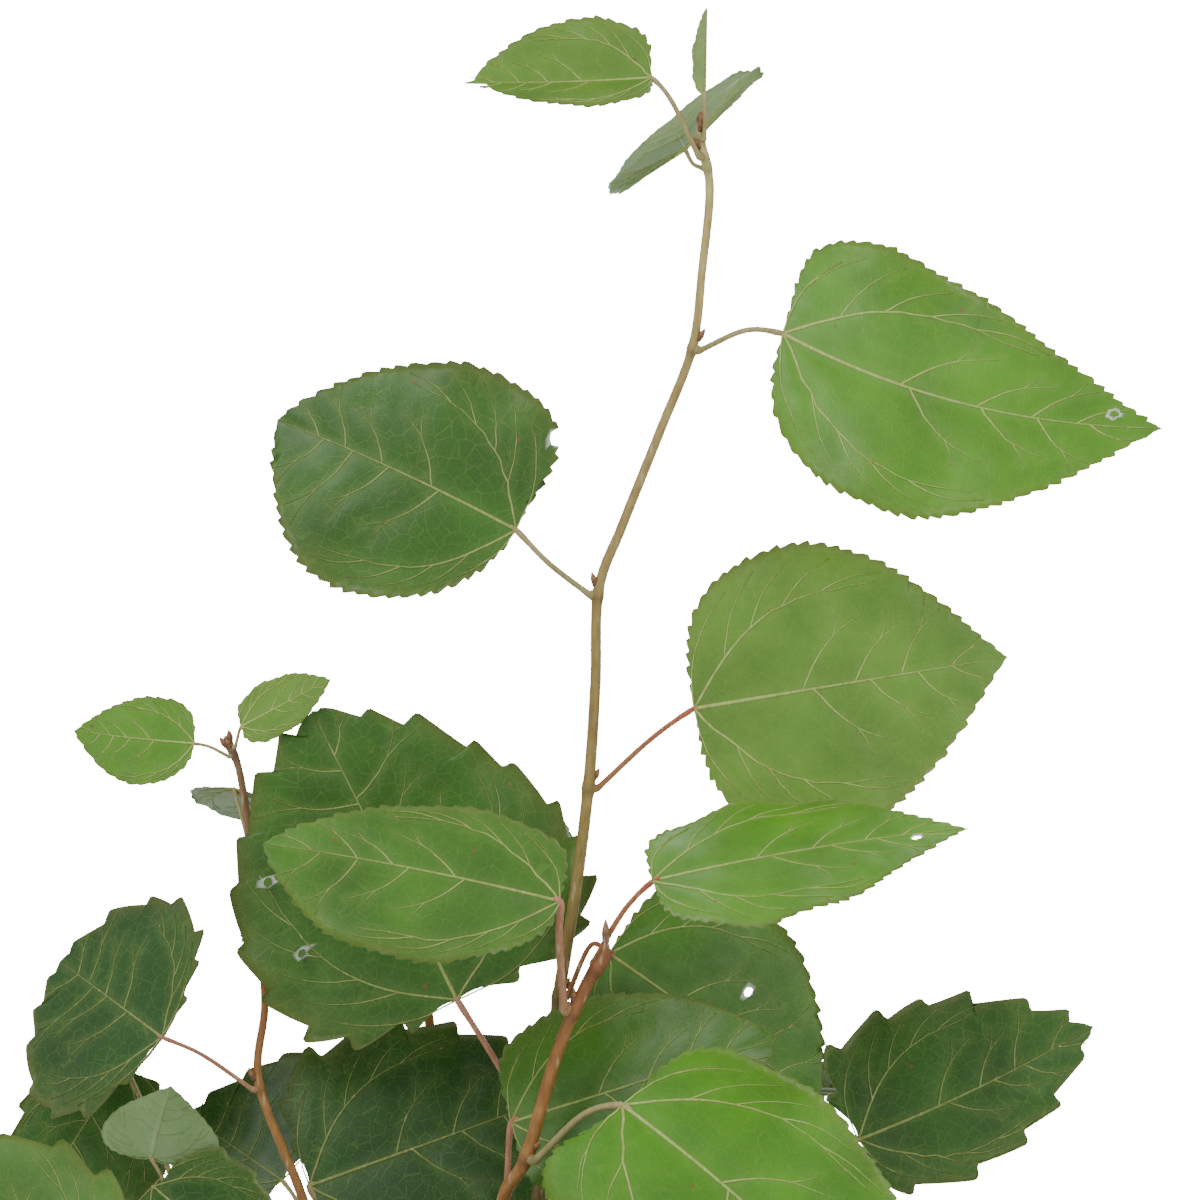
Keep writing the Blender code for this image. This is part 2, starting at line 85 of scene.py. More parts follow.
# Studio. A pale floor, a white surround and large soft lamps: one high in front on the left,
# a weaker one on the right, and one behind the crown that lights the blades' edges. A glowing white
# panel far behind makes the plain ground of the photograph.
SQUARE = [(-1, -1), (1, -1), (1, 1), (-1, 1)]
FLOOR_HALF = 1.4
SURROUND_STRENGTH = 0.62
PANEL_HALF, PANEL_AWAY, PANEL_GLOW = 1.2, 9.0, 16.0
LAMPS = [((-0.9, -1.3, 1.5), 0.9, 17.0), ((1.2, -1.0, 0.7), 0.9, 5.0), ((0.3, 1.2, 1.3), 1.0, 10.0)]
AIM = Vector((0.02, 0, 0.18))


def plain_material(name, color, roughness):
    material = bpy.data.materials.new(name)
    material.use_nodes = True
    shader = material.node_tree.nodes["Principled BSDF"]
    shader.inputs["Base Color"].default_value = color
    shader.inputs["Roughness"].default_value = roughness
    return material


def add_flat(name, corners, material):
    mesh = bpy.data.meshes.new(name)
    mesh.from_pydata(corners, [], [(0, 1, 2, 3)])
    mesh.materials.append(material)
    return add_object(name, mesh)


floor = add_flat("floor", [(x * FLOOR_HALF, y * FLOOR_HALF, 0) for x, y in SQUARE],
                 plain_material("floor_pale", (0.86, 0.86, 0.85, 1), 0.8))
floor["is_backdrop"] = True

panel_white = plain_material("panel_white", (0.9, 0.9, 0.9, 1), 0.9)
panel_shader = panel_white.node_tree.nodes["Principled BSDF"]
panel_shader.inputs["Emission Color"].default_value = (1, 1, 1, 1)
panel_shader.inputs["Emission Strength"].default_value = PANEL_GLOW
panel = add_flat("panel", [(x * PANEL_HALF, PANEL_AWAY, z * PANEL_HALF) for x, z in SQUARE], panel_white)
panel.location = (AIM.x, 0, AIM.z)
panel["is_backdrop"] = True

world = bpy.data.worlds.new("surround")
world.use_nodes = True
background = world.node_tree.nodes["Background"]
background.inputs["Color"].default_value = (1, 1, 1, 1)
background.inputs["Strength"].default_value = SURROUND_STRENGTH
bpy.context.scene.world = world

for number, (place, size, power) in enumerate(LAMPS):
    lamp_data = bpy.data.lights.new(f"lamp_{number}", "AREA")
    lamp_data.size = size
    lamp_data.energy = power
    lamp = add_object(f"lamp_{number}", lamp_data)
    lamp.location = place
    lamp.rotation_euler = (AIM - Vector(place)).to_track_quat("-Z", "Y").to_euler()


# Limbs. The trunk and the boughs of its clump: smooth young bark over green wood, swollen at each
# leaf's node, with a scaly bud in each axil and a longer one at each tip.
LIMB_SIDES = 14
RING_SPACING = 0.9 * MM
FLARE_HEIGHT = 9 * MM
FLARE_SPREAD = 0.9
FLARE_LOBES = 3
FLARE_LOBE_DEPTH = 0.14
SEAT_GAP = 0.3 * MM
NODE_SWELL = 0.34           # of the radius
NODE_REACH = 1.1 * MM
BARK_RELIEF = 0.05 * MM
BUD_RISE = 1.5 * MM
# Limbs: the joints they pass through, in millimetres, and the radius at each joint.
TRUNK = dict(
    name="trunk",
    joints=[(0, 0, 0), (0.5, 0, 14), (2, -0.5, 32), (6, -1, 58), (10.6, -1, 91), (12.5, 0, 110),
            (14.2, 0, 127), (17.5, 1, 148), (19.8, 1, 167), (21, 0, 185), (21.6, -1, 202), (26, 0, 214),
            (32.8, 1, 231), (38.6, 1, 246), (40.4, 0, 260), (41.8, 0, 275), (40.2, 0, 284), (40.1, 0, 288)],
    radii=[2.6, 2.4, 2.15, 1.75, 1.35, 1.2, 1.15, 1.08, 1.05, 0.98, 0.95, 0.9, 0.86, 0.84, 0.78, 0.82,
           0.7, 0.3],
)
BOUGHS = [
    dict(name="bough_front", from_height=44, rise=0.9,
         joints=[(3.5, -14, 68), (4.2, -23, 91), (8.6, -26, 100), (14.2, -28, 119), (19.4, -29, 131),
                 (22.6, -30, 136), (22.9, -30, 139.5)],
         radii=[1.3, 1.25, 1.25, 1.2, 1.15, 1.15, 1.15, 0.3]),
    dict(name="bough_left", from_height=30, rise=0.8,
         joints=[(-12, 4, 46), (-24, 6, 66), (-32.8, 7, 92), (-40.4, 8, 112), (-39.4, 9, 127),
                 (-41, 9, 148), (-43.8, 8, 168), (-46, 8, 174)],
         radii=[1.25, 1.15, 1.0, 0.9, 0.78, 0.72, 0.7, 0.68, 0.55]),
    dict(name="bough_low_left", from_height=20, rise=0.6,
         joints=[(-14, -6, 32), (-32, -9, 50), (-47, -8, 72), (-57, -6, 94)],
         radii=[1.15, 1.05, 0.95, 0.85, 0.5]),
    dict(name="bough_right", from_height=37, rise=0.6,
         joints=[(22, 5, 54), (38, 8, 72), (50, 8, 88), (58, 8, 99)],
         radii=[1.15, 1.05, 0.95, 0.85, 0.5]),
    dict(name="bough_rear", from_height=25, rise=0.9,
         joints=[(-1, 17, 44), (-5, 30, 74), (-8, 36, 108), (-12, 38, 140), (-14, 37, 158)],
         radii=[1.25, 1.15, 1.05, 0.95, 0.85, 0.5]),
    dict(name="bough_rear_right", from_height=50, rise=0.8,
         joints=[(22, 13, 70), (33, 22, 92), (38, 26, 116), (40, 26, 134)],
         radii=[1.05, 0.98, 0.9, 0.8, 0.5]),
]
# The bark's colour at heights above the ground, from the foot to the tip. On the trunk the near-black lower
# stretch is painted shade of the lower crown over its own browner bark.
TRUNK_TONES_WITH_SHADE = [(0.0, (0.055, 0.042, 0.022)), (0.10, (0.17, 0.13, 0.035)), (0.16, (0.34, 0.26, 0.07)),
               (0.20, (0.37, 0.27, 0.085)), (0.245, (0.47, 0.36, 0.13)), (0.275, (0.60, 0.53, 0.19)),
               (0.29, (0.55, 0.56, 0.24))]
SHOOT_TONES = [(0.0, (0.06, 0.045, 0.02)), (0.07, (0.30, 0.15, 0.045)), (0.11, (0.42, 0.20, 0.05)),
               (0.135, (0.30, 0.12, 0.04)), (0.18, (0.26, 0.17, 0.09))]
BUD_FOOT, BUD_TOP = (0.16, 0.045, 0.02), (0.46, 0.26, 0.10)
BUD_RINGS, BUD_SIDES = 9, 8
BUD_SCALE_EVERY = 3         # rings from one scale's edge to the next


class Shape:
    """Gathers the points and faces of one piece, with a colour and a place in the leaf for each point."""

    def __init__(self):
        self.points, self.faces, self.slots, self.tones, self.spots = [], [], [], [], []
        self.count = 0

    def add(self, points, faces, material, tones, spots=None):
        points = np.asarray(points, float).reshape(-1, 3)
        self.faces += [tuple(corner + self.count for corner in face) for face in faces]
        self.slots += [material] * len(faces)
        self.points.append(points)
        self.tones.append(np.broadcast_to(np.asarray(tones, float), (len(points), 3)))
        self.spots.append(np.zeros((len(points), 3)) if spots is None else np.asarray(spots, float))
        self.count += len(points)

    def piece(self, name, node, slot, materials):
        mesh = bpy.data.meshes.new(name)
        mesh.from_pydata(np.concatenate(self.points).tolist(), [], self.faces)
        for material in materials:
            mesh.materials.append(material)
        mesh.polygons.foreach_set("material_index", self.slots)
        tones = np.ones((self.count, 4), np.float32)
        tones[:, :3] = np.concatenate(self.tones)
        mesh.attributes.new("tone", "FLOAT_COLOR", "POINT").data.foreach_set("color", tones.ravel())
        spots = np.concatenate(self.spots).astype(np.float32)
        mesh.attributes.new("place", "FLOAT_VECTOR", "POINT").data.foreach_set("vector", spots.ravel())
        mesh.shade_smooth()
        piece = add_object(name, mesh)
        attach(piece, "root")
        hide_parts(node)
        return piece


def smooth_path(joints, steps):
    """Points on a smooth curve through the joints; steps holds the number of steps in each stretch."""
    ends = [2 * joints[0] - joints[1], *joints, 2 * joints[-1] - joints[-2]]
    path = []
    for i in range(1, len(ends) - 2):
        before, here, there, after = ends[i - 1:i + 3]
        for step in range(steps[i - 1]):
            t = step / steps[i - 1]
            path.append(0.5 * (2 * here + (there - before) * t
                               + (2 * before - 5 * here + 4 * there - after) * t ** 2
                               + (3 * here - before - 3 * there + after) * t ** 3))
    return path + [joints[-1]]


def between(values, steps):
    found = []
    for here, there, count in zip(values, values[1:], steps):
        found += [here + (there - here) * step / count for step in range(count)]
    return found + [values[-1]]


def frames_along(path, level_first=False):
    """Two directions square to the path at each of its points, turned with it and never about it."""
    found = []
    across = Vector((1, 0, 0))
    for i in range(len(path)):
        along = (path[min(i + 1, len(path) - 1)] - path[max(i - 1, 0)]).normalized()
        if level_first and i == 0:
            along = Vector((0, 0, 1))
        across = (across - along * across.dot(along)).normalized()
        found.append((across.copy(), along.cross(across)))
    return found


def tube_faces(rings, sides):
    faces = [tuple(reversed(range(sides))), tuple(range((rings - 1) * sides, rings * sides))]
    for ring in range(rings - 1):
        for side in range(sides):
            ahead = (side + 1) % sides
            low, high = ring * sides, (ring + 1) * sides
            faces.append((low + side, low + ahead, high + ahead, high + side))
    return faces


def add_tube(shape, path, radius_at, sides, material, tone_at, level_first=False):
    """A closed tube: radius_at and tone_at are read for each ring, or each ring and angle."""
    points, tones = [], []
    for i, (point, (across, other)) in enumerate(zip(path, frames_along(path, level_first))):
        for side in range(sides):
            angle = 2 * math.pi * side / sides
            out = across * math.cos(angle) + other * math.sin(angle)
            points.append(point + out * radius_at(i, angle, out))
            tones.append(tone_at(i, angle))
    shape.add(points, tube_faces(len(path), sides), material, tones)


def tone_between(tones, height):
    heights = [place for place, color in tones]
    return np.array([np.interp(height, heights, [color[c] for place, color in tones]) for c in range(3)])


class Limb:
    """A limb's centre line and thickness, and where something seated on it starts."""

    def __init__(self, path, radii):
        self.path = path
        self.radii = radii

    def at(self, height):
        for i in range(len(self.path) - 1):
            low, high = self.path[i], self.path[i + 1]
            if low.z <= height <= high.z:
                share = (height - low.z) / (high.z - low.z)
                radius = self.radii[i] + (self.radii[i + 1] - self.radii[i]) * share
                return low.lerp(high, share), radius, (high - low).normalized()
        return self.path[-1], self.radii[-1], (self.path[-1] - self.path[-2]).normalized()

    def seat(self, height, toward, rise, radius):
        centre, limb_radius, along = self.at(height)
        out = toward - centre
        out = (out - along * out.dot(along)).normalized()
        start_direction = out * math.cos(rise) + along * math.sin(rise)
        reach = limb_radius + SEAT_GAP + radius * math.sin(rise)
        return centre + out * reach, start_direction


def ring_steps(joints):
    """How many rings each stretch of a limb gets."""
    return [max(3, round((b - a).length / RING_SPACING)) for a, b in zip(joints, joints[1:])]


def trunk_limb():
    joints = [Vector(joint) * MM for joint in TRUNK["joints"]]
    steps = ring_steps(joints)
    radii = [radius * MM for radius in between(TRUNK["radii"], steps)]
    return Limb(smooth_path(joints, steps), radii)


def bough_limb(trunk, bough):
    radii = [radius * MM for radius in bough["radii"]]
    joints = [Vector(joint) * MM for joint in bough["joints"]]
    start, first = trunk.seat(bough["from_height"] * MM, joints[0], bough["rise"], radii[0])
    joints = [start, *joints]
    steps = ring_steps(joints)
    path = smooth_path(joints, steps)
    foot = trunk.at(bough["from_height"] * MM)[0]
    path = [foot.lerp(start, 0.45), foot.lerp(start, 0.75)] + path
    return Limb(path, [radii[0] * 1.5, radii[0] * 1.25] + between(radii, steps))


def add_bud(shape, foot, direction, length, radius, chance):
    """A pointed bud: overlapping scales show as steps in its outline and in its colour."""
    side = direction.orthogonal().normalized()
    other = direction.cross(side)
    bend = side * chance.uniform(-0.12, 0.12) * length
    points, tones = [], []
    for ring in range(BUD_RINGS):
        t = ring / (BUD_RINGS - 1)
        wide = radius * max(0.06, math.sin(math.pi * min(1.0, 0.22 + 0.78 * t)) ** 0.8)
        wide *= 1.0 + 0.12 * (ring % BUD_SCALE_EVERY == 1)
        centre = foot + direction * length * t + bend * t * t
        tone = np.array(BUD_FOOT) * (1 - t) + np.array(BUD_TOP) * t
        for k in range(BUD_SIDES):
            angle = 2 * math.pi * k / BUD_SIDES + 0.3 * ring
            points.append(centre + (side * math.cos(angle) + other * math.sin(angle)) * wide)
            tones.append(tone * (1.0 - 0.35 * (ring % BUD_SCALE_EVERY == 0)))
    shape.add(points, tube_faces(BUD_RINGS, BUD_SIDES), 1, tones)


def pattern_group(name, color):
    """An empty node group that takes a colour and puts out a colour, a roughness and a height."""
    group = bpy.data.node_groups.new(name, "ShaderNodeTree")
    taken = group.interface.new_socket("Colour", in_out="INPUT", socket_type="NodeSocketColor")
    taken.default_value = color
    for label, kind in (("Colour", "Color"), ("Roughness", "Float"), ("Height", "Float")):
        group.interface.new_socket(label, in_out="OUTPUT", socket_type="NodeSocket" + kind)
    return group, group.nodes.new("NodeGroupInput"), group.nodes.new("NodeGroupOutput")


def put_out(group, leave, color, roughness, height):
    for label, value in (("Colour", color), ("Roughness", roughness), ("Height", height)):
        group.links.new(value, leave.inputs[label])


def math_node(group, operation, first, second=None, clamp=False):
    node = group.nodes.new("ShaderNodeMath")
    node.operation = operation
    node.use_clamp = clamp
    for index, value in enumerate((first, second)):
        if value is None:
            continue
        if isinstance(value, (int, float)):
            node.inputs[index].default_value = value
        else:
            group.links.new(value, node.inputs[index])
    return node.outputs[0]


def mix_color(group, kind, share, first, second):
    node = group.nodes.new("ShaderNodeMix")
    node.data_type = "RGBA"
    node.blend_type = kind
    places = [socket for socket in node.inputs if socket.enabled]
    for socket, value in zip(places, (share, first, second)):
        if isinstance(value, (int, float, tuple)):
            socket.default_value = value
        else:
            group.links.new(value, socket)
    return next(socket for socket in node.outputs if socket.enabled)


def in_range(group, value, low, high, at_low, at_high):
    node = group.nodes.new("ShaderNodeMapRange")
    group.links.new(value, node.inputs["Value"])
    for label, number in (("From Min", low), ("From Max", high), ("To Min", at_low), ("To Max", at_high)):
        node.inputs[label].default_value = number
    return node.outputs[0]


def noise_value(group, vector, scale, detail=3.0):
    node = group.nodes.new("ShaderNodeTexNoise")
    node.inputs["Scale"].default_value = scale
    node.inputs["Detail"].default_value = detail
    group.links.new(vector, node.inputs["Vector"])
    return node.outputs["Fac"]


def cell_distance(group, vector, scale, feature="F1"):
    node = group.nodes.new("ShaderNodeTexVoronoi")
    node.feature = feature
    node.inputs["Scale"].default_value = scale
    group.links.new(vector, node.inputs["Vector"])
    return node.outputs["Distance"]


def attribute(tree, name):
    node = tree.nodes.new("ShaderNodeAttribute")
    node.attribute_type = "GEOMETRY"
    node.attribute_name = name
    return node


bark_group, bark_in, bark_out = pattern_group("young_bark_pattern", (0.4, 0.3, 0.1, 1))
object_place = bark_group.nodes.new("ShaderNodeTexCoord").outputs["Object"]
stretch = bark_group.nodes.new("ShaderNodeMapping")
stretch.inputs["Scale"].default_value = (1.0, 1.0, 0.22)
bark_group.links.new(object_place, stretch.inputs["Vector"])
streak = noise_value(bark_group, stretch.outputs[0], 1400.0, 4.0)
patch = noise_value(bark_group, object_place, 160.0, 3.0)
lenticel = in_range(bark_group, cell_distance(bark_group, stretch.outputs[0], 620.0), 0.10, 0.24, 1.0, 0.0)
shaded = mix_color(bark_group, "MULTIPLY", in_range(bark_group, streak, 0.35, 0.7, 0.0, 0.6),
                   bark_in.outputs[0], (0.62, 0.52, 0.40, 1))
shaded = mix_color(bark_group, "MULTIPLY", in_range(bark_group, patch, 0.45, 0.75, 0.0, 0.45),
                   shaded, (0.70, 0.48, 0.32, 1))
shaded = mix_color(bark_group, "MIX", math_node(bark_group, "MULTIPLY", lenticel, 0.5),
                   shaded, (0.62, 0.50, 0.30, 1))
put_out(bark_group, bark_out, shaded, in_range(bark_group, streak, 0.3, 0.7, 0.42, 0.62),
        math_node(bark_group, "ADD", streak, lenticel))


def patterned(name, group, bump_strength, bump_distance):
    """A material whose colour comes from each point's own tone, passed through a pattern group."""
    material = bpy.data.materials.new(name)
    material.use_nodes = True
    tree = material.node_tree
    shader = tree.nodes["Principled BSDF"]
    pattern = tree.nodes.new("ShaderNodeGroup")
    pattern.node_tree = group
    tree.links.new(attribute(tree, "tone").outputs["Color"], pattern.inputs["Colour"])
    tree.links.new(pattern.outputs["Colour"], shader.inputs["Base Color"])
    tree.links.new(pattern.outputs["Roughness"], shader.inputs["Roughness"])
    bump = tree.nodes.new("ShaderNodeBump")
    bump.inputs["Strength"].default_value = bump_strength
    bump.inputs["Distance"].default_value = bump_distance
    tree.links.new(pattern.outputs["Height"], bump.inputs["Height"])
    tree.links.new(bump.outputs["Normal"], shader.inputs["Normal"])
    return material


bark = patterned("young_bark", bark_group, 0.5, 0.00012)
bud_scale = patterned("bud_scale", bark_group, 0.3, 0.00008)
bud_scale.node_tree.nodes["Principled BSDF"].inputs["Coat Weight"].default_value = 0.25


# Leaves. Each is a long thin stalk and a broad blade: one leaf, one piece. The blade is a thin
# embossed solid in its own toothed outline, with raised veins that stand out more beneath.
# Outlines. widest: where along the blade its left and right halves are broadest. lobes: how far the
# left and right base lobes reach back. base_round, tip_round: 1 is round, 2 is a straight wedge.
# teeth, depth: coarse teeth a side, and their depth as a share of the length. rows: sections of it.
OUTLINES = {
    "ovate": dict(widest=(0.37, 0.37), lobes=(0.05, 0.05), base_round=1.0, tip_round=2.1,
                  teeth=0, depth=0.0, rows=8),
    "round": dict(widest=(0.44, 0.44), lobes=(0.06, 0.06), base_round=0.95, tip_round=1.5,
                  teeth=0, depth=0.0, rows=8),
    "coarse": dict(widest=(0.40, 0.40), lobes=(0.08, 0.08), base_round=0.85, tip_round=1.55,
                   teeth=5, depth=0.05, rows=10),
    "lance": dict(widest=(0.40, 0.40), lobes=(0.0, 0.0), base_round=1.1, tip_round=1.8,
                  teeth=0, depth=0.0, rows=7),
}

# Leaves that show one by one, in millimetres. node: the height on the limb where the stalk starts.
# arch: how far the stalk bows up. faces: where the blade's upper side looks. width: left and right
# halves, seen from above with the tip ahead. sway and bow: the midrib's bend to the left and upward,
# as a share of the length. fold and curl: degrees that the halves rise at the midrib, and fall
# again towards the edge. twist: degrees that the tip is turned. stalk: the stalk's radius.
LEAVES = [
    dict(limb="trunk", shape="lance", node=284, base=(40.7, -3, 292), tip=(41.2, -1, 308), arch=0,
         faces=(-0.9, 0.3, 0.1), width=(2.6, 2.8), fold=36, stalk=0.4),
    dict(limb="trunk", shape="ovate", node=279, base=(37.4, 4, 282.3), tip=(35, 37, 289), arch=-1,
         faces=(0.6, 0.3, -0.7), width=(19.5, 16.5), tip_round=1.4, fold=-8, curl=-14, stalk=0.42),
    dict(limb="trunk", shape="ovate", node=281, base=(31.3, -4, 295), tip=(-3, -8, 294), arch=2.5,
         faces=(0, -0.8, 0.6), width=(8.5, 12.4), lobes=(0, 0.09), sway=0.015, fold=24, curl=10, stalk=0.5),
    dict(limb="trunk", shape="ovate", node=246, base=(55, -4, 248.6), tip=(123.8, -10, 231.3), arch=1.7,
         faces=(0.02, -0.95, 0.32), width=(24.2, 23.9), widest=(0.26, 0.37), lobes=(0.03, 0.05),
         base_round=1.12, tip_round=2.2, sway=-0.077, fold=8, curl=18, bow=0.03, stalk=0.55),
    dict(limb="trunk", shape="round", node=201, base=(6.6, -4, 212.9), tip=(-37, 4, 233), arch=-1,
         faces=(-0.1, -0.98, 0.15), width=(24.1, 24.2), widest=(0.54, 0.31), lobes=(0.01, 0.14),
         tip_round=1.6, sway=-0.01, fold=6, curl=16, bow=0.06, stalk=0.55),
    dict(limb="trunk", shape="ovate", node=166, base=(39, 5, 180.4), tip=(96.5, 13, 189.8), arch=1,
         faces=(0.05, -0.99, 0.03), width=(26.7, 26.4), widest=(0.4, 0.4), tip_round=2.25,
         fold=5, curl=14, bow=0.03, stalk=0.5),
    dict(limb="trunk", shape="round", node=128, base=(23.4, -4, 136), tip=(61.5, 8, 109), arch=5,
         faces=(0.1, -0.98, 0.2), width=(24, 21), widest=(0.4, 0.42), fold=4, curl=12, stalk=0.5),
    dict(limb="trunk", shape="coarse", node=104, base=(-4.2, 3.5, 127.3), tip=(-30.6, 2, 180), arch=1,
         faces=(0, -0.99, 0.1), width=(31.5, 32.5), widest=(0.4, 0.33), lobes=(0.06, 0.12),
         fold=4, curl=10, stalk=0.6),
    dict(limb="bough_front", shape="ovate", node=134, base=(31.3, -30, 149.6), tip=(88.3, -24, 159), arch=1,
         faces=(0, -0.5, 0.87), width=(20, 20.3), tip_round=2.4, fold=4, curl=12, bow=0.02, stalk=0.55),
    dict(limb="bough_front", shape="ovate", node=126, base=(14.6, -34, 146), tip=(-38.6, -36, 156.5), arch=2,
         faces=(0, -0.72, 0.69), width=(20.5, 15.5), widest=(0.52, 0.27), base_round=0.9, tip_round=1.6,
         fold=8, curl=10, bow=0.02, twist=-14, stalk=0.75),
    dict(limb="bough_front", shape="ovate", node=100, base=(25.8, -36, 109.6), tip=(78, -52, 62), arch=3,
         faces=(0.2, -0.86, 0.46), width=(26.5, 28), lobes=(0.06, 0.18), base_round=0.8, tip_round=1.7,
         fold=6, curl=16, bow=0.06, stalk=0.65),
    dict(limb="bough_front", shape="ovate", node=78, base=(5.8, -16, 105.7), tip=(54, -22, 121), arch=2,
         faces=(0, -0.92, 0.4), width=(18.5, 19), base_round=0.8, tip_round=1.7, fold=6, curl=10, stalk=0.6),
    dict(limb="bough_left", shape="ovate", node=173, base=(-43.6, 6, 177), tip=(-27.2, 2, 185.7), arch=0.5,
         faces=(0.1, -0.7, 0.7), width=(7.2, 6.7), widest=(0.38, 0.43), base_round=0.85, tip_round=1.9,
         fold=6, curl=10, stalk=0.32),
    dict(limb="bough_left", shape="ovate", node=172, base=(-52.2, 5, 174), tip=(-73.9, -1, 176.4), arch=0.5,
         faces=(-0.1, -0.95, 0.3), width=(8.8, 8.3), widest=(0.5, 0.33), base_round=1.1, tip_round=1.9,
         sway=0.01, fold=6, curl=10, stalk=0.32),
    dict(limb="bough_left", shape="round", node=155, base=(-45.1, 13, 165.6), tip=(-37, 34, 158), arch=0.5,
         faces=(0, -0.35, 0.9), width=(11.5, 12.5), lobes=(0.2, 0.2), fold=-6, stalk=0.36),
    dict(limb="bough_left", shape="coarse", node=111, base=(-57.9, 3, 120.5), tip=(-77.7, 31, 133.6), arch=1,
         faces=(-0.62, -0.62, 0.45), width=(23.6, 21.8), widest=(0.45, 0.48), base_round=1.0,
         fold=6, curl=12, stalk=0.42),
    dict(limb="bough_left", shape="coarse", node=84, base=(-36.5, 20, 93.7), tip=(-54.5, 30, 105.5), arch=1,
         faces=(-0.1, -0.95, 0.3), width=(6.5, 23.7), tip_round=2.0, fold=4, curl=10, stalk=0.45),
    dict(limb="bough_left", shape="coarse", node=76, base=(-31.3, 11.5, 93), tip=(19, 15, 111), arch=2,
         faces=(0, -0.97, 0.25), width=(24, 24), widest=(0.34, 0.42), fold=5, curl=12, stalk=0.6),
    dict(limb="bough_low_left", shape="coarse", node=64, base=(-70, -32, 70), tip=(-104, -42, 98), arch=2,
         faces=(-0.2, -0.85, 0.5), width=(24, 24), fold=5, curl=12, stalk=0.5),
    dict(limb="bough_low_left", shape="ovate", node=91, base=(-59.5, -10, 99), tip=(-56, -6, 112), arch=0.5,
         faces=(0.2, 0.93, 0.3), width=(12, 12), fold=24, stalk=0.36),
    dict(limb="bough_low_left", shape="coarse", node=86, base=(-59, -15, 94), tip=(-39, -18, 77), arch=1,
         faces=(0.1, -0.8, 0.6), width=(16, 17), fold=6, curl=12, stalk=0.45),
    dict(limb="bough_low_left", shape="coarse", node=80, base=(-66, 28, 115), tip=(-84, 30, 86), arch=2,
         faces=(0, -0.97, 0.2), width=(18, 12), fold=6, curl=10, stalk=0.5),
    dict(limb="bough_right", shape="coarse", node=96, base=(69, 6, 101.7), tip=(112, 9, 122.3), arch=1,
         faces=(0, -0.97, 0.25), width=(19.8, 14), widest=(0.34, 0.36), base_round=0.7, tip_round=1.75,
         sway=-0.02, fold=6, curl=12, stalk=0.5),
]

# Leaves that fill the crown where the photographed side hides it: they grow in a spiral up their limb.
# heights: lowest and highest node. turn: the first one's direction round the limb, in degrees,
# counted from +X towards +Y. sizes: the lowest and the highest blade's length, in millimetres.
# seeds: one for each leaf, which settles how it is turned, tilted and shaped; a leaf that would
# touch a limb or another leaf, or leave its space, is skipped with None.
SPIRAL_STEP = 137.5
SPRAYS = [
    dict(limb="trunk", heights=(26, 84), turn=200, sizes=(44, 52), seeds=(2, 2, None, 8)),
    dict(limb="bough_front", heights=(58, 74), turn=250, sizes=(46, 50), seeds=(4, 7)),
    dict(limb="bough_left", heights=(50, 64), turn=150, sizes=(42, 46), seeds=(1, 7)),
    dict(limb="bough_low_left", heights=(36, 50), turn=120, sizes=(42, 46), seeds=(1, 1)),
    dict(limb="bough_right", heights=(50, 92), turn=20, sizes=(48, 44), seeds=(1, None, None, 1)),
    dict(limb="bough_rear", heights=(44, 156), turn=60, sizes=(50, 30),
         seeds=(1, 7, None, 3, None, None, 7, 1)),
    dict(limb="bough_rear_right", heights=(68, 132), turn=70, sizes=(46, 32), seeds=(1, None, 17, 4, None)),
]
SPRAY_STALK = 0.42          # a stalk's length, as a share of its blade's length
SPRAY_WIDTH = 0.43          # half a blade's width, as a share of its length
# Each blade's green. A leaf that isn't named has the inner one. The blackest greens, on the low leaves, are
# their older colour with painted shade of the lower crown in it.
GREENS = {
    "lime": (0.36, 0.56, 0.075), "bright": (0.085, 0.29, 0.006), "light": (0.135, 0.30, 0.028),
    "fresh": (0.10, 0.31, 0.008), "mid": (0.065, 0.20, 0.012), "deep": (0.036, 0.135, 0.007),
    "dark_and_shaded": (0.014, 0.080, 0.004), "dusky_and_shaded": (0.030, 0.118, 0.008), "inner": (0.028, 0.10, 0.007),
}
LEAF_GREENS = {
    "trunk_leaf_01": "lime", "trunk_leaf_02": "light", "trunk_leaf_03": "light", "trunk_leaf_04": "fresh",
    "trunk_leaf_05": "deep", "trunk_leaf_06": "light", "trunk_leaf_07": "mid", "trunk_leaf_08": "deep",
    "bough_front_leaf_01": "fresh", "bough_front_leaf_02": "mid", "bough_front_leaf_03": "bright",
    "bough_front_leaf_04": "mid", "bough_left_leaf_01": "light", "bough_left_leaf_02": "fresh",
    "bough_left_leaf_03": "deep", "bough_left_leaf_04": "dark_and_shaded", "bough_left_leaf_05": "dark_and_shaded",
    "bough_left_leaf_06": "dark_and_shaded", "bough_low_left_leaf_01": "mid", "bough_low_left_leaf_02": "dusky_and_shaded",
    "bough_low_left_leaf_03": "dark_and_shaded", "bough_low_left_leaf_04": "dusky_and_shaded", "bough_right_leaf_01": "dusky_and_shaded",
}
STALK_COLORS = {
    "red": (0.50, 0.13, 0.06), "pink": (0.62, 0.27, 0.18),
    "ochre": (0.50, 0.42, 0.20), "olive": (0.20, 0.26, 0.05),
}
RED_STALKS = ("trunk_leaf_06", "bough_front_leaf_01", "trunk_leaf_07")
PINK_STALKS = ("bough_front_leaf_02", "bough_front_leaf_04", "bough_left_leaf_04", "trunk_leaf_08")
VEIN_TINT = (0.56, 0.70, 0.22)
BACK_TINT = (0.24, 0.36, 0.15)
RIM_TINT = (0.30, 0.26, 0.07)

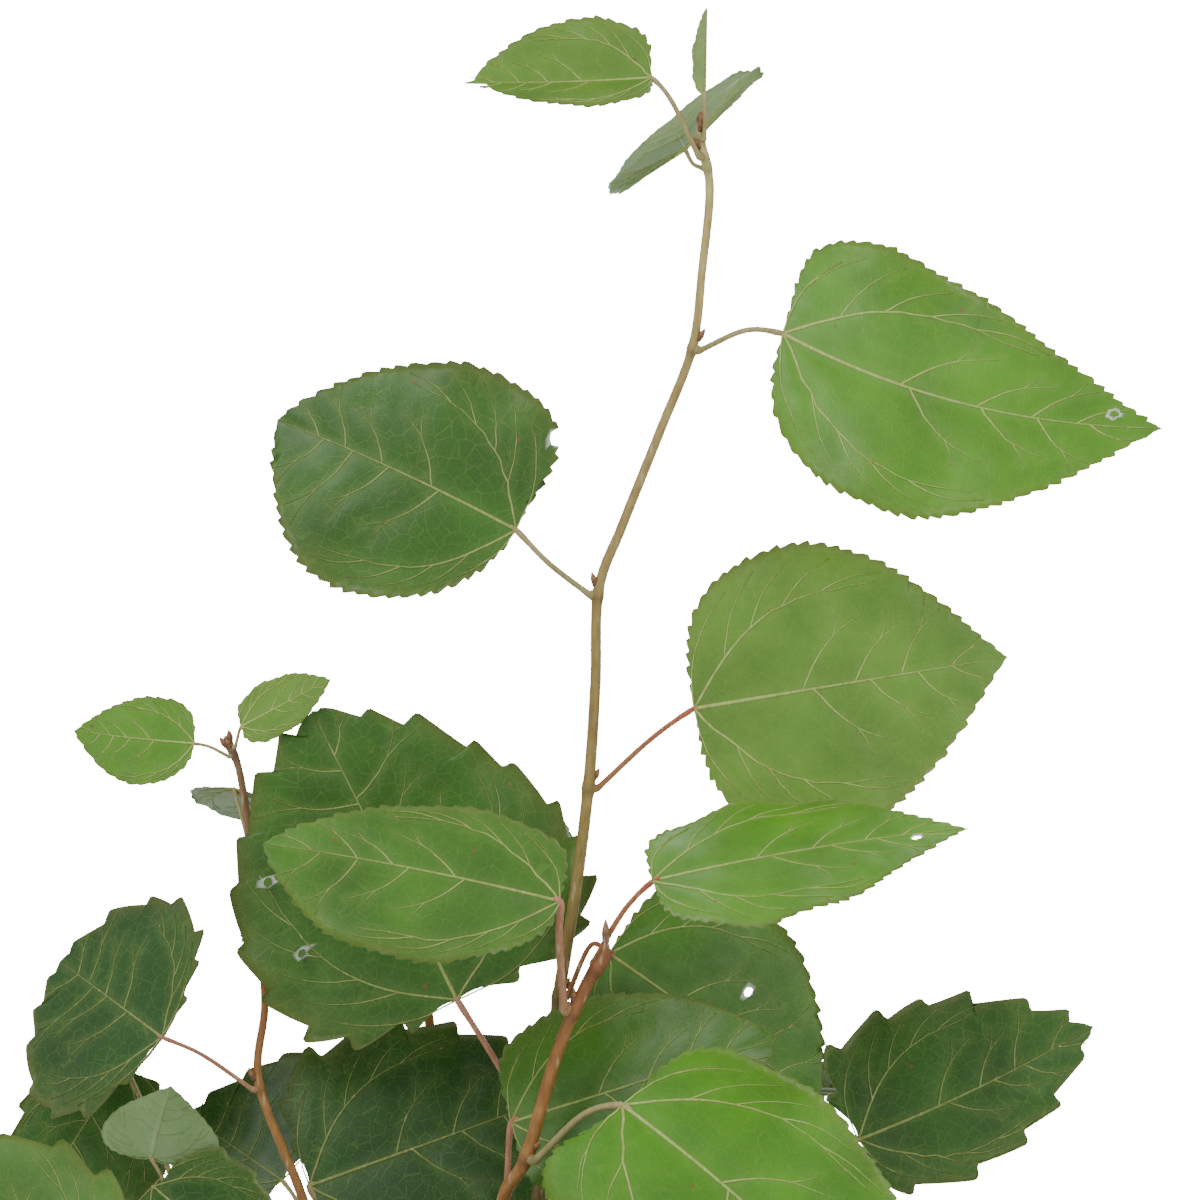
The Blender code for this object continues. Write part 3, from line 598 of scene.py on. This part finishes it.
ROW_SPACING = 0.66 * MM
CELLS = 11                  # from the midrib to either edge
FINE_TOOTH = dict(pitch=2.8 * MM, depth=0.85 * MM)
COARSE_TOOTH = dict(pitch=9.5 * MM, depth=2.4 * MM)
HALF_THICK = 0.15 * MM
EDGE_THICK = 0.07 * MM
QUILT = 0.24 * MM           # how far the tissue stands up between the veins
VEIN_LIFT = 0.10 * MM
QUILT_REACH = 1.7 * MM
STALK_RISE = math.radians(42)
STALK_LIFT = 0.06
STALK_SUNK = 0.045
STALK_SIDES = 8
TOOTH_POINT = 0.76          # where along a tooth its point is
TOOTH_LEAN = 0.55           # how far the point leans towards the tip, as a share of its depth
EDGE_WAVE = 0.016           # how far the edge waves up and down, as a share of the length
HALO_REACH = 1.1 * MM       # the paler tissue along a vein
HALO_SHARE, RIM_SHARE, BACK_SHARE = 0.07, 0.35, 0.65
MIDRIB_WIDTH, STRONG_WIDTH, LOW_WIDTH = (0.74, 0.20), (0.50, 0.16), (0.34, 0.10)


def margin(leaf, length, half, count):
    """The plain edge of one half, from base to tip: half is 0 for the left and 1 for the right."""
    side = 1 - 2 * half
    share = np.linspace(0, 1, count + 1)
    along = (1 - np.cos(np.pi * share)) / 2
    warp = math.log(leaf["widest"][half]) / math.log(0.5)
    power = np.where(share < 0.5, leaf["base_round"], leaf["tip_round"])
    across = np.clip(np.sin(np.pi * share), 0, 1) ** power
    back = leaf["lobes"][half] * across ** 2 * (1 - along) ** 3
    return length * (along ** warp - back), side * leaf["width"][half] * across


def toothed(leaf, length, half, rows, chance):
    """The edge with its teeth: each rises slowly, leans towards the tip and drops into the next bay."""
    u, v = margin(leaf, length, half, 400)
    run = np.concatenate([[0], np.cumsum(np.hypot(np.diff(u), np.diff(v)))])
    at = np.linspace(0, run[-1], rows + 1)
    u, v = np.interp(at, run, u), np.interp(at, run, v)
    ahead_u, ahead_v = np.gradient(u), np.gradient(v)
    size = np.hypot(ahead_u, ahead_v) + 1e-12
    ahead_u, ahead_v = ahead_u / size, ahead_v / size
    side = 1 - 2 * half
    kind = COARSE_TOOTH if leaf["teeth"] else FINE_TOOTH
    grow = min(1.0, length / (45 * MM))
    pitch, depth = kind["pitch"] * (0.5 + 0.5 * grow), kind["depth"] * grow
    out = np.zeros(rows + 1)
    row = 2
    while row < rows - 2:
        count = max(3, round(pitch * chance.uniform(0.75, 1.3) * rows / run[-1]))
        high = depth * chance.uniform(0.6, 1.25)
        for k in range(count):
            if row + k < rows - 1:
                x = (k + 0.5) / count
                drop = (x - TOOTH_POINT) / (1 - TOOTH_POINT)
                out[row + k] = high * ((x / TOOTH_POINT) ** 1.4 if x < TOOTH_POINT else 1 - drop ** 2)
        row += count
    fade = np.clip(np.minimum(at / run[-1] / 0.07, (1 - at / run[-1]) / 0.05), 0, 1)
    out = (out - 0.45 * depth) * fade
    lean = TOOTH_LEAN * out
    return (u - side * ahead_v * out + ahead_u * lean, v + side * ahead_u * out + ahead_v * lean)


class Blade:
    """The curved surface of a leaf: places points of the flat outline in space."""

    def __init__(self, leaf, chance):
        self.leaf = leaf
        self.base = leaf["base"]
        self.length = (leaf["tip"] - leaf["base"]).length
        self.ahead = (leaf["tip"] - leaf["base"]).normalized()
        faces = leaf["faces"]
        self.up = (faces - self.ahead * faces.dot(self.ahead)).normalized()
        self.left = self.up.cross(self.ahead)
        self.waves = chance.uniform(2.2, 3.6)
        self.phase = chance.uniform(0, 6.28)

    def place(self, u, v):
        """The points for arrays of u along and v to the left, and the upper side's direction there."""
        leaf = self.leaf
        u, v = np.asarray(u, float), np.asarray(v, float)
        ahead, up0, left0 = (np.array(d)[None, :] for d in (self.ahead, self.up, self.left))
        t = u / self.length
        turn = (math.radians(leaf["twist"]) * t)[:, None]
        left = left0 * np.cos(turn) + up0 * np.sin(turn)
        up = up0 * np.cos(turn) - left0 * np.sin(turn)
        hump = (4 * t * (1 - t) * self.length)[:, None]
        middle = np.array(self.base)[None, :] + ahead * u[:, None] + up0 * leaf["bow"] * hump
        middle = middle + left0 * leaf["sway"] * hump
        side = np.sign(v)[:, None]
        fold = math.radians(leaf["fold"])
        bend = (math.radians(leaf["curl"]) or 1e-4) / max(leaf["width"])
        reach = np.abs(v)[:, None]
        outward = (math.sin(fold) - np.sin(fold - bend * reach)) / bend
        rise = (np.cos(fold - bend * reach) - math.cos(fold)) / bend
        lean = fold - bend * reach
        normal = up * np.cos(lean) - left * side * np.sin(lean)
        normal /= np.linalg.norm(normal, axis=1)[:, None]
        edge = np.clip(reach[:, 0] / max(leaf["width"]), 0, 1.2)
        beat = np.sin(2 * math.pi * self.waves * t + self.phase + (v > 0) * 2.1)
        wave = EDGE_WAVE * self.length * edge ** 2.5 * beat
        return middle + left * side * outward + up * rise + normal * wave[:, None], normal


def vein_lines(leaf, blade, chance):
    """Lines of (u, v) points with a width at each end: a midrib, two strong pairs from the base,
    and side veins that start by turns, bend towards the tip and fork before they reach the edge."""
    length = blade.length
    lines = [(np.stack([np.linspace(-0.01, 0.985, 26) * length, np.zeros(26)], 1), *MIDRIB_WIDTH)]
    for half in (0, 1):
        side = 1 - 2 * half
        edge_u, edge_v = margin(leaf, length, half, 200)
        furthest_back = np.argmin(edge_u)
        front_u, front_v = edge_u[furthest_back:], np.abs(edge_v[furthest_back:])

        def half_width(u):
            return float(np.interp(u, front_u, front_v))

        def line(start, end, belly, thick, thin, points=13):
            t = np.linspace(0, 1, points)
            u = start[0] + (end[0] - start[0]) * t
            v = start[1] + (end[1] - start[1]) * t
            bow = belly * np.sin(np.pi * t)
            du, dv = end[0] - start[0], end[1] - start[1]
            jitter = np.array([0.0] + [chance.uniform(-1, 1) for _ in range(points - 2)] + [0.0])
            jitter *= 0.012 * math.hypot(du, dv)
            u = u - dv * side * bow + jitter * 0.5
            v = v + du * side * bow + jitter * 0.5
            found = np.stack([u, v], 1)
            lines.append((found, thick, thin))
            return found

        end_u = chance.uniform(0.56, 0.66) * length
        strong = line((0.0, 0.0), (end_u, side * 0.80 * half_width(end_u)), 0.16, *STRONG_WIDTH, 18)
        low_u = 0.10 * length
        low = line((0.0, 0.0), (low_u, side * 0.80 * half_width(low_u)), 0.10, *LOW_WIDTH, 12)
        for share in (0.28, 0.46, 0.64, 0.82):
            begin = strong[int(share * 17)]
            out_u = begin[0] + (0.10 + 0.12 * share) * length
            line(begin, (out_u, side * 0.90 * half_width(out_u)), 0.08, 0.26, 0.08, 9)
        begin = low[6]
        out_u = begin[0] + 0.13 * length
        line(begin, (out_u, side * 0.86 * half_width(out_u)), 0.06, 0.2, 0.07, 8)
        for number, share in enumerate((0.33, 0.52, 0.67, 0.80)):
            start_u = (share + 0.03 * half + chance.uniform(-0.015, 0.015)) * length
            out_u = start_u + (0.30 - 0.22 * share) * length
            reach = 0.52 if number < 2 else 0.86
            side_vein = line((start_u, 0.0), (out_u, side * reach * half_width(out_u)), 0.10,
                             0.38 - 0.03 * number, 0.11, 11)
            begin = side_vein[6]
            fork_u = begin[0] + 0.035 * length
            line(begin, (fork_u, side * min(0.9, reach + 0.04) * half_width(fork_u)), -0.05, 0.18, 0.07, 7)
    return lines


def vein_distance(points, lines):
    """How far each (u, v) point is from the nearest vein."""
    near = np.full(len(points), 1.0)
    for line, thick, thin in lines:
        a, b = line[:-1], line[1:]
        d = b - a
        t = np.einsum("nmk,mk->nm", points[:, None, :] - a[None], d) / ((d * d).sum(1) + 1e-15)
        t = np.clip(t, 0, 1)
        gap = points[:, None, :] - (a[None] + d[None] * t[:, :, None])
        near = np.minimum(near, np.sqrt((gap ** 2).sum(2)).min(1))
    return near


def add_blade(shape, leaf, blade, tone, chance):
    length = blade.length
    edge_run = 2.4 * max(length / 2, max(leaf["width"]))
    rows = int(np.clip(edge_run / ROW_SPACING, 36, 120))
    left = toothed(leaf, length, 0, rows, chance)
    right = toothed(leaf, length, 1, rows, chance)
    middle = length * np.linspace(0, 1, rows + 1) ** 1.35
    share = np.linspace(0, 1, CELLS + 1) ** 0.9
    across = np.concatenate([-share[:0:-1], share])
    u = np.empty((rows + 1, len(across)))
    v = np.empty_like(u)
    for column, f in enumerate(across):
        edge = left if f > 0 else right
        u[:, column] = middle + (edge[0] - middle) * abs(f)
        v[:, column] = edge[1] * abs(f)
    for low, high, half, keep in leaf["tears"]:
        t = middle / length
        gone = np.clip(np.minimum((t - low) / 0.05, (high - t) / 0.05), 0, 1)[:, None]
        ragged = keep * (1 + 0.25 * np.sin(70 * t + 5))[:, None]
        side_here = np.broadcast_to((across > 0) == (half == 0), v.shape)
        v = np.where(side_here, v * (1 - gone * (1 - ragged)), v)
    u[0], v[0], u[rows], v[rows] = 0.0, 0.0, length, 0.0
    flat = np.stack([u.ravel(), v.ravel()], 1)
    lines = vein_lines(leaf, blade, chance)
    near = vein_distance(flat, lines)
    rim = np.tile(np.abs(across), rows + 1)
    points, normals = blade.place(flat[:, 0], flat[:, 1])
    quilt = QUILT * min(1.0, length / (50 * MM)) * (1 - np.exp(-(near / QUILT_REACH) ** 2)) * (1 - rim ** 6)
    thick = HALF_THICK + (EDGE_THICK - HALF_THICK) * rim ** 2
    top = points + normals * (quilt + thick)[:, None]
    under = points + normals * (quilt - thick)[:, None]

    spots = np.concatenate([flat / MM, np.full((len(flat), 1), chance.uniform(0, 40))], 1)
    halo = np.exp(-(near / HALO_REACH) ** 2)[:, None]
    edge = (rim ** 14)[:, None]
    drift = np.array([noise.noise(Vector((p[0] * 0.09, p[1] * 0.09, p[2]))) for p in spots])[:, None]
    colors = np.array(tone) * (1 + 0.30 * drift)
    colors = colors * (1 - HALO_SHARE * halo) + np.array(VEIN_TINT) * HALO_SHARE * halo
    colors = colors * (1 - RIM_SHARE * edge) + np.array(RIM_TINT) * RIM_SHARE * edge
    back = colors * (1 - BACK_SHARE) + np.array(BACK_TINT) * BACK_SHARE

    columns = len(across)
    count = (rows + 1) * columns

    def corner(row, column):
        """The blade closes to one point at its base and at its tip."""
        return row * columns + (column if 0 < row < rows else 0)

    faces, slots = [], []
    for row in range(rows):
        for column in range(columns - 1):
            here = [corner(row, column), corner(row, column + 1),
                    corner(row + 1, column + 1), corner(row + 1, column)]
            ring = [c for k, c in enumerate(here) if c != here[k - 1]]
            faces.append((tuple(ring[::-1]), 0))
            faces.append((tuple(c + count for c in ring), 1))
        for column in (0, columns - 1):
            a, b = corner(row, column), corner(row + 1, column)
            wall = (a, b, b + count, a + count)
            faces.append((wall if column == 0 else wall[::-1], 0))
    used = sorted({c for face, kind in faces for c in face})
    renumber = {old: new for new, old in enumerate(used)}
    for kind in (0, 1):
        slots.append([tuple(renumber[c] for c in face) for face, k in faces if k == kind])
    both = np.concatenate([top, under])[used]
    both_tones = np.concatenate([colors, back])[used]
    both_spots = np.concatenate([spots, spots])[used]
    start = shape.count
    shape.add(both, slots[0], 0, both_tones, both_spots)
    shape.faces += [tuple(c + start for c in face) for face in slots[1]]
    shape.slots += [1] * len(slots[1])

    for line, wide, thin in lines:
        ahead = np.gradient(line, axis=0)
        ahead /= np.linalg.norm(ahead, axis=1)[:, None] + 1e-12
        square = np.stack([-ahead[:, 1], ahead[:, 0]], 1)
        wide_at = np.linspace(wide, thin, len(line)) * MM * (0.45 + 0.55 * length / (60 * MM))
        centre, normal = blade.place(line[:, 0], line[:, 1])
        a = blade.place(*(line + square * wide_at[:, None] / 2).T)[0]
        b = blade.place(*(line - square * wide_at[:, None] / 2).T)[0]
        seat = HALF_THICK + VEIN_LIFT
        high = (seat + 0.30 * wide_at)[:, None]
        deep = (HALF_THICK + 0.70 * wide_at)[:, None]
        ring = np.stack([a + normal * seat, centre + normal * high, b + normal * seat,
                         centre - normal * deep], 1).reshape(-1, 3)
        pale = np.linspace(0.92, 0.40, len(line))[:, None]
        vein_color = np.array(VEIN_TINT) * min(1.0, 0.42 + 2.3 * tone[1])
        vein_tone = np.repeat(np.array(tone) * (1 - pale) + vein_color * pale, 4, axis=0)
        shape.add(ring, tube_faces(len(line), 4), 2, vein_tone)


def add_stalk(shape, leaf, blade, limb, foot_tone, top_tone):
    radius = leaf["stalk"]
    arch = Vector((0, 0, leaf["arch"]))
    centre = limb.at(leaf["node"])[0]
    middle = (centre + leaf["base"]) / 2 + arch
    start, first = limb.seat(leaf["node"], middle, STALK_RISE, radius)
    reach = (leaf["base"] - start).length
    sunk = Vector(blade.place([STALK_SUNK * blade.length], [0.0])[0][0]) - blade.up * 0.5 * radius
    middle = (start + leaf["base"]) / 2 + arch + first * STALK_LIFT * reach
    path = smooth_path([start, middle, leaf["base"], sunk], [10, 10, 3])
    path = [centre.lerp(start, 0.5), centre.lerp(start, 0.85)] + path
    last = len(path) - 1
    top = np.array(top_tone)
    foot = np.array(foot_tone)

    def radius_at(i, angle, out):
        t = i / last
        wide = 1.06 - 0.2 * t + 0.75 * math.exp(-(i / 1.8) ** 2) + 0.2 * math.exp(-((last - 5 - i) / 2) ** 2)
        return radius * wide * min(1.0, (last - i + 0.8) / 3.4)

    add_tube(shape, path, radius_at, STALK_SIDES, 3, lambda i, angle: foot + (top - foot) * (i / last))


def shown_leaf(row):
    leaf = dict(OUTLINES[row["shape"]], sway=0.0, bow=0.0, fold=0.0, curl=0.0, twist=0.0)
    leaf.update(row)
    for key in ("base", "tip"):
        leaf[key] = Vector(row[key]) * MM
    for key in ("node", "arch", "stalk"):
        leaf[key] = row[key] * MM
    leaf["faces"] = Vector(row["faces"])
    leaf["width"] = [half * MM for half in row["width"]]
    return leaf


def spray_leaf(spray, limb, number):
    """One leaf of a spiral: it stands out from its limb, tilts down at its tip and faces the sky."""
    chance = random.Random(spray["seeds"][number])
    share = number / (len(spray["seeds"]) - 1)
    node = (spray["heights"][0] + (spray["heights"][1] - spray["heights"][0]) * share) * MM
    length = (spray["sizes"][0] + (spray["sizes"][1] - spray["sizes"][0]) * share) * MM
    length *= chance.uniform(0.9, 1.1)
    turn = math.radians(spray["turn"] + SPIRAL_STEP * number + chance.uniform(-30, 30))
    out = Vector((math.cos(turn), math.sin(turn), 0))
    rise = Vector((0, 0, chance.uniform(0.05, 0.3)))
    base = limb.at(node)[0] + (out * chance.uniform(0.8, 1.25) * SPRAY_STALK + rise) * length
    pitch = math.radians(chance.uniform(-46, 4))
    ahead = out * math.cos(pitch) + Vector((0, 0, math.sin(pitch)))
    aside = Vector((-out.y, out.x, 0)) * chance.uniform(-0.7, 0.7)
    shape = chance.choice(("ovate", "coarse", "round"))
    width = length * SPRAY_WIDTH * chance.uniform(0.92, 1.08)
    return dict(OUTLINES[shape], shape=shape, node=node, base=base, tip=base + ahead * length,
                arch=length * 0.03, faces=Vector((0, 0, 1)) + out * 0.5 + aside, width=(width, width),
                sway=chance.uniform(-0.03, 0.03), bow=chance.uniform(0.03, 0.09), fold=chance.uniform(3, 12),
                curl=chance.uniform(8, 22), twist=chance.uniform(-16, 16), stalk=0.5 * MM)


leaf_group, leaf_in, leaf_out = pattern_group("leaf_tissue_pattern", (0.2, 0.4, 0.1, 1))
leaf_place = attribute(leaf_group, "place").outputs["Vector"]
coarse_edge = cell_distance(leaf_group, leaf_place, 0.36, "DISTANCE_TO_EDGE")
coarse_net = in_range(leaf_group, coarse_edge, 0.0, 0.035, 1.0, 0.0)
fine_edge = cell_distance(leaf_group, leaf_place, 1.25, "DISTANCE_TO_EDGE")
fine_net = in_range(leaf_group, fine_edge, 0.0, 0.09, 1.0, 0.0)
net = math_node(leaf_group, "ADD", math_node(leaf_group, "MULTIPLY", coarse_net, 0.17),
                math_node(leaf_group, "MULTIPLY", fine_net, 0.07), clamp=True)
cloud = noise_value(leaf_group, leaf_place, 0.16, 4.0)
grain = noise_value(leaf_group, leaf_place, 2.6, 3.0)
toned = mix_color(leaf_group, "MULTIPLY", in_range(leaf_group, cloud, 0.40, 0.68, 0.0, 0.55),
                  leaf_in.outputs[0], (0.62, 0.74, 0.55, 1))
toned = mix_color(leaf_group, "MIX", net, toned, (0.26, 0.42, 0.07, 1))
toned = mix_color(leaf_group, "MULTIPLY", in_range(leaf_group, grain, 0.35, 0.7, 0.0, 0.35),
                  toned, (0.72, 0.80, 0.62, 1))
brown = in_range(leaf_group, cell_distance(leaf_group, leaf_place, 0.11), 0.035, 0.06, 0.85, 0.0)
toned = mix_color(leaf_group, "MIX", brown, toned, (0.20, 0.11, 0.035, 1))
put_out(leaf_group, leaf_out, toned, in_range(leaf_group, cloud, 0.3, 0.7, 0.36, 0.52),
        math_node(leaf_group, "SUBTRACT", math_node(leaf_group, "MULTIPLY", grain, 0.5), net))

blade_top = patterned("blade_upper_side", leaf_group, 0.45, 0.00018)
blade_back = patterned("blade_under_side", leaf_group, 0.5, 0.00018)
vein_skin = patterned("vein", bark_group, 0.15, 0.00005)
stalk_skin = patterned("stalk", bark_group, 0.15, 0.00005)
LEAF_SLOTS = {"ovate": "leaf_upper", "round": "leaf_broad", "coarse": "leaf_lower", "lance": "leaf_young"}


# Holes that something ate through a blade, and a bite at one edge: how far along the midrib, how far
# to the left of it, and the radius, in millimetres.
HOLES = {
    "trunk_leaf_04": [(62.1, 2.4, 1.0)],
    "trunk_leaf_05": [(0.2, -18.6, 1.5)],
    "trunk_leaf_07": [(15.7, -2.1, 1.1), (26.2, 8.9, 0.8)],
    "trunk_leaf_08": [(34.7, 21.2, 0.8), (20.4, 21.4, 0.7)],
    "bough_front_leaf_01": [(48.2, -1.4, 0.9)],
}
HOLE_SIDES = 9
CUTTER_REACH = 2.5          # how far the cutter stands out on each side of the blade, in millimetres
# Tears: where along the blade they run, in which half, and the share of its width that is left.
TEARS = {"trunk_leaf_03": [(0.80, 1.1, 0, 0.12), (0.88, 1.1, 1, 0.30)]}


def cut_holes(piece, blade, holes, chance):
    """Cuts ragged holes through a blade."""
    for along, aside, radius in holes:
        centre, normal = blade.place([along * MM], [aside * MM])
        centre, normal = Vector(centre[0]), Vector(normal[0])
        across = normal.orthogonal().normalized()
        other = normal.cross(across)
        ring = []
        for side in range(HOLE_SIDES):
            angle = 2 * math.pi * side / HOLE_SIDES
            ring.append((across * math.cos(angle) * 1.25 + other * math.sin(angle)) * radius * MM
                        * chance.uniform(0.75, 1.15))
        points = [centre + point + normal * height * MM for height in (-CUTTER_REACH, CUTTER_REACH)
                  for point in ring]
        mesh = bpy.data.meshes.new("cutter")
        mesh.from_pydata(points, [], tube_faces(2, HOLE_SIDES))
        cutter = add_object("cutter", mesh)
        cut = piece.modifiers.new("hole", "BOOLEAN")
        cut.operation = "DIFFERENCE"
        cut.solver = "EXACT"
        cut.object = cutter
        bpy.context.view_layer.update()
        done = bpy.data.meshes.new_from_object(piece.evaluated_get(bpy.context.evaluated_depsgraph_get()))
        piece.modifiers.clear()
        piece.data = done
        bpy.data.objects.remove(cutter)


def make_leaf(name, leaf, limb, slot, number):
    chance = random.Random(1000 + number)
    leaf["tears"] = TEARS.get(name, ())
    blade = Blade(leaf, chance)
    tone = np.array(GREENS[LEAF_GREENS.get(name, "inner")])
    shape = Shape()
    add_blade(shape, leaf, blade, tone, chance)
    kind = "red" if name in RED_STALKS else "pink" if name in PINK_STALKS else "ochre"
    top = np.array(STALK_COLORS[kind])
    foot = top * 0.6 + np.array(STALK_COLORS["olive"]) * 0.4
    add_stalk(shape, leaf, blade, limb, foot, top)
    piece = shape.piece(name + "_live", name, slot, [blade_top, blade_back, vein_skin, stalk_skin])
    cut_holes(piece, blade, HOLES.get(name, ()), chance)


def dress_limb(name, limb, tones, nodes, tip_bud, slot, flared):
    """Skins a limb: rings swell at its nodes, and a bud sits above each one."""
    chance = random.Random(name)
    shape = Shape()
    path, radii = limb.path, limb.radii

    def radius_at(i, angle, out):
        point = path[i]
        radius = radii[i]
        for height, toward in nodes:
            swell = math.exp(-((point.z - height) / NODE_REACH) ** 2)
            radius += radii[i] * NODE_SWELL * swell * (0.6 + 0.6 * max(0.0, out.dot(toward)))
        if flared:
            spread = max(0.0, 1 - point.z / FLARE_HEIGHT) ** 2
            radius *= 1 + FLARE_SPREAD * spread
            radius *= 1 + FLARE_LOBE_DEPTH * spread * math.cos(FLARE_LOBES * angle)
        place = Vector((math.cos(angle) * 3, math.sin(angle) * 3, point.z * 900))
        rough = 1 + 2.2 * max(0.0, 1 - point.z / 0.06)
        return radius + BARK_RELIEF * rough * noise.noise(place)

    def tone_at(i, angle):
        height = path[i].z
        place = Vector((math.cos(angle) * 2, math.sin(angle) * 2, height * 420))
        tone = tone_between(tones, height) * (1 + 0.28 * noise.noise(place))
        # A dimmer ring just below each node: painted shade under the node's swelling.
        for node, toward in nodes:
            tone = tone * (1 - 0.35 * math.exp(-((height - node + 0.7 * MM) / (0.8 * MM)) ** 2))
        return tone

    add_tube(shape, path, radius_at, LIMB_SIDES, 0, tone_at, level_first=flared)
    for height, toward in nodes:
        centre, radius, along = limb.at(height + BUD_RISE)
        out = (toward - along * toward.dot(along)).normalized()
        direction = (along + out * 0.45).normalized()
        add_bud(shape, centre + out * radius * 0.7, direction, chance.uniform(2.0, 3.0) * MM,
                0.62 * MM, chance)
    end, radius, along = path[-1], radii[-1], (path[-1] - path[-2]).normalized()
    add_bud(shape, end - along * 1.2 * MM, along, tip_bud * MM, max(radius * 1.7, 0.75 * MM), chance)
    shape.piece(name + "_live", name, slot, [bark, bud_scale])


trunk = trunk_limb()
limbs = {"trunk": trunk}
for bough in BOUGHS:
    limbs[bough["name"]] = bough_limb(trunk, bough)
counts = dict.fromkeys(limbs, 0)
limb_nodes = {name: [] for name in limbs}
queue = [(row["limb"], shown_leaf(row), LEAF_SLOTS[row["shape"]]) for row in LEAVES]
for spray in SPRAYS:
    for number, seed in enumerate(spray["seeds"]):
        if seed is not None:
            queue.append((spray["limb"], spray_leaf(spray, limbs[spray["limb"]], number), "leaf_inner"))
for number, (limb_name, leaf, slot) in enumerate(queue):
    counts[limb_name] += 1
    centre, radius, along = limbs[limb_name].at(leaf["node"])
    limb_nodes[limb_name].append((leaf["node"], (leaf["base"] - centre).normalized()))
    make_leaf(f"{limb_name}_leaf_{counts[limb_name]:02d}", leaf, limbs[limb_name], slot, number)

TIP_BUDS = {"trunk": 2.6, "bough_front": 4.6}
for name, limb in limbs.items():
    trunk_like = name == "trunk"
    dress_limb(name, limb, TRUNK_TONES_WITH_SHADE if trunk_like else SHOOT_TONES, limb_nodes[name],
               TIP_BUDS.get(name, 2.8), "trunk_bark" if trunk_like else "shoot_bark", trunk_like)


# Size. The dressed plant's box and the solids' box are put into JSON text, which is neither printed nor
# kept.
for label, box in (("cad", cad_box), ("visual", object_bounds())):
    json.dumps({label: [[round(c, 5) for c in corner] for corner in box]}) + "\n"
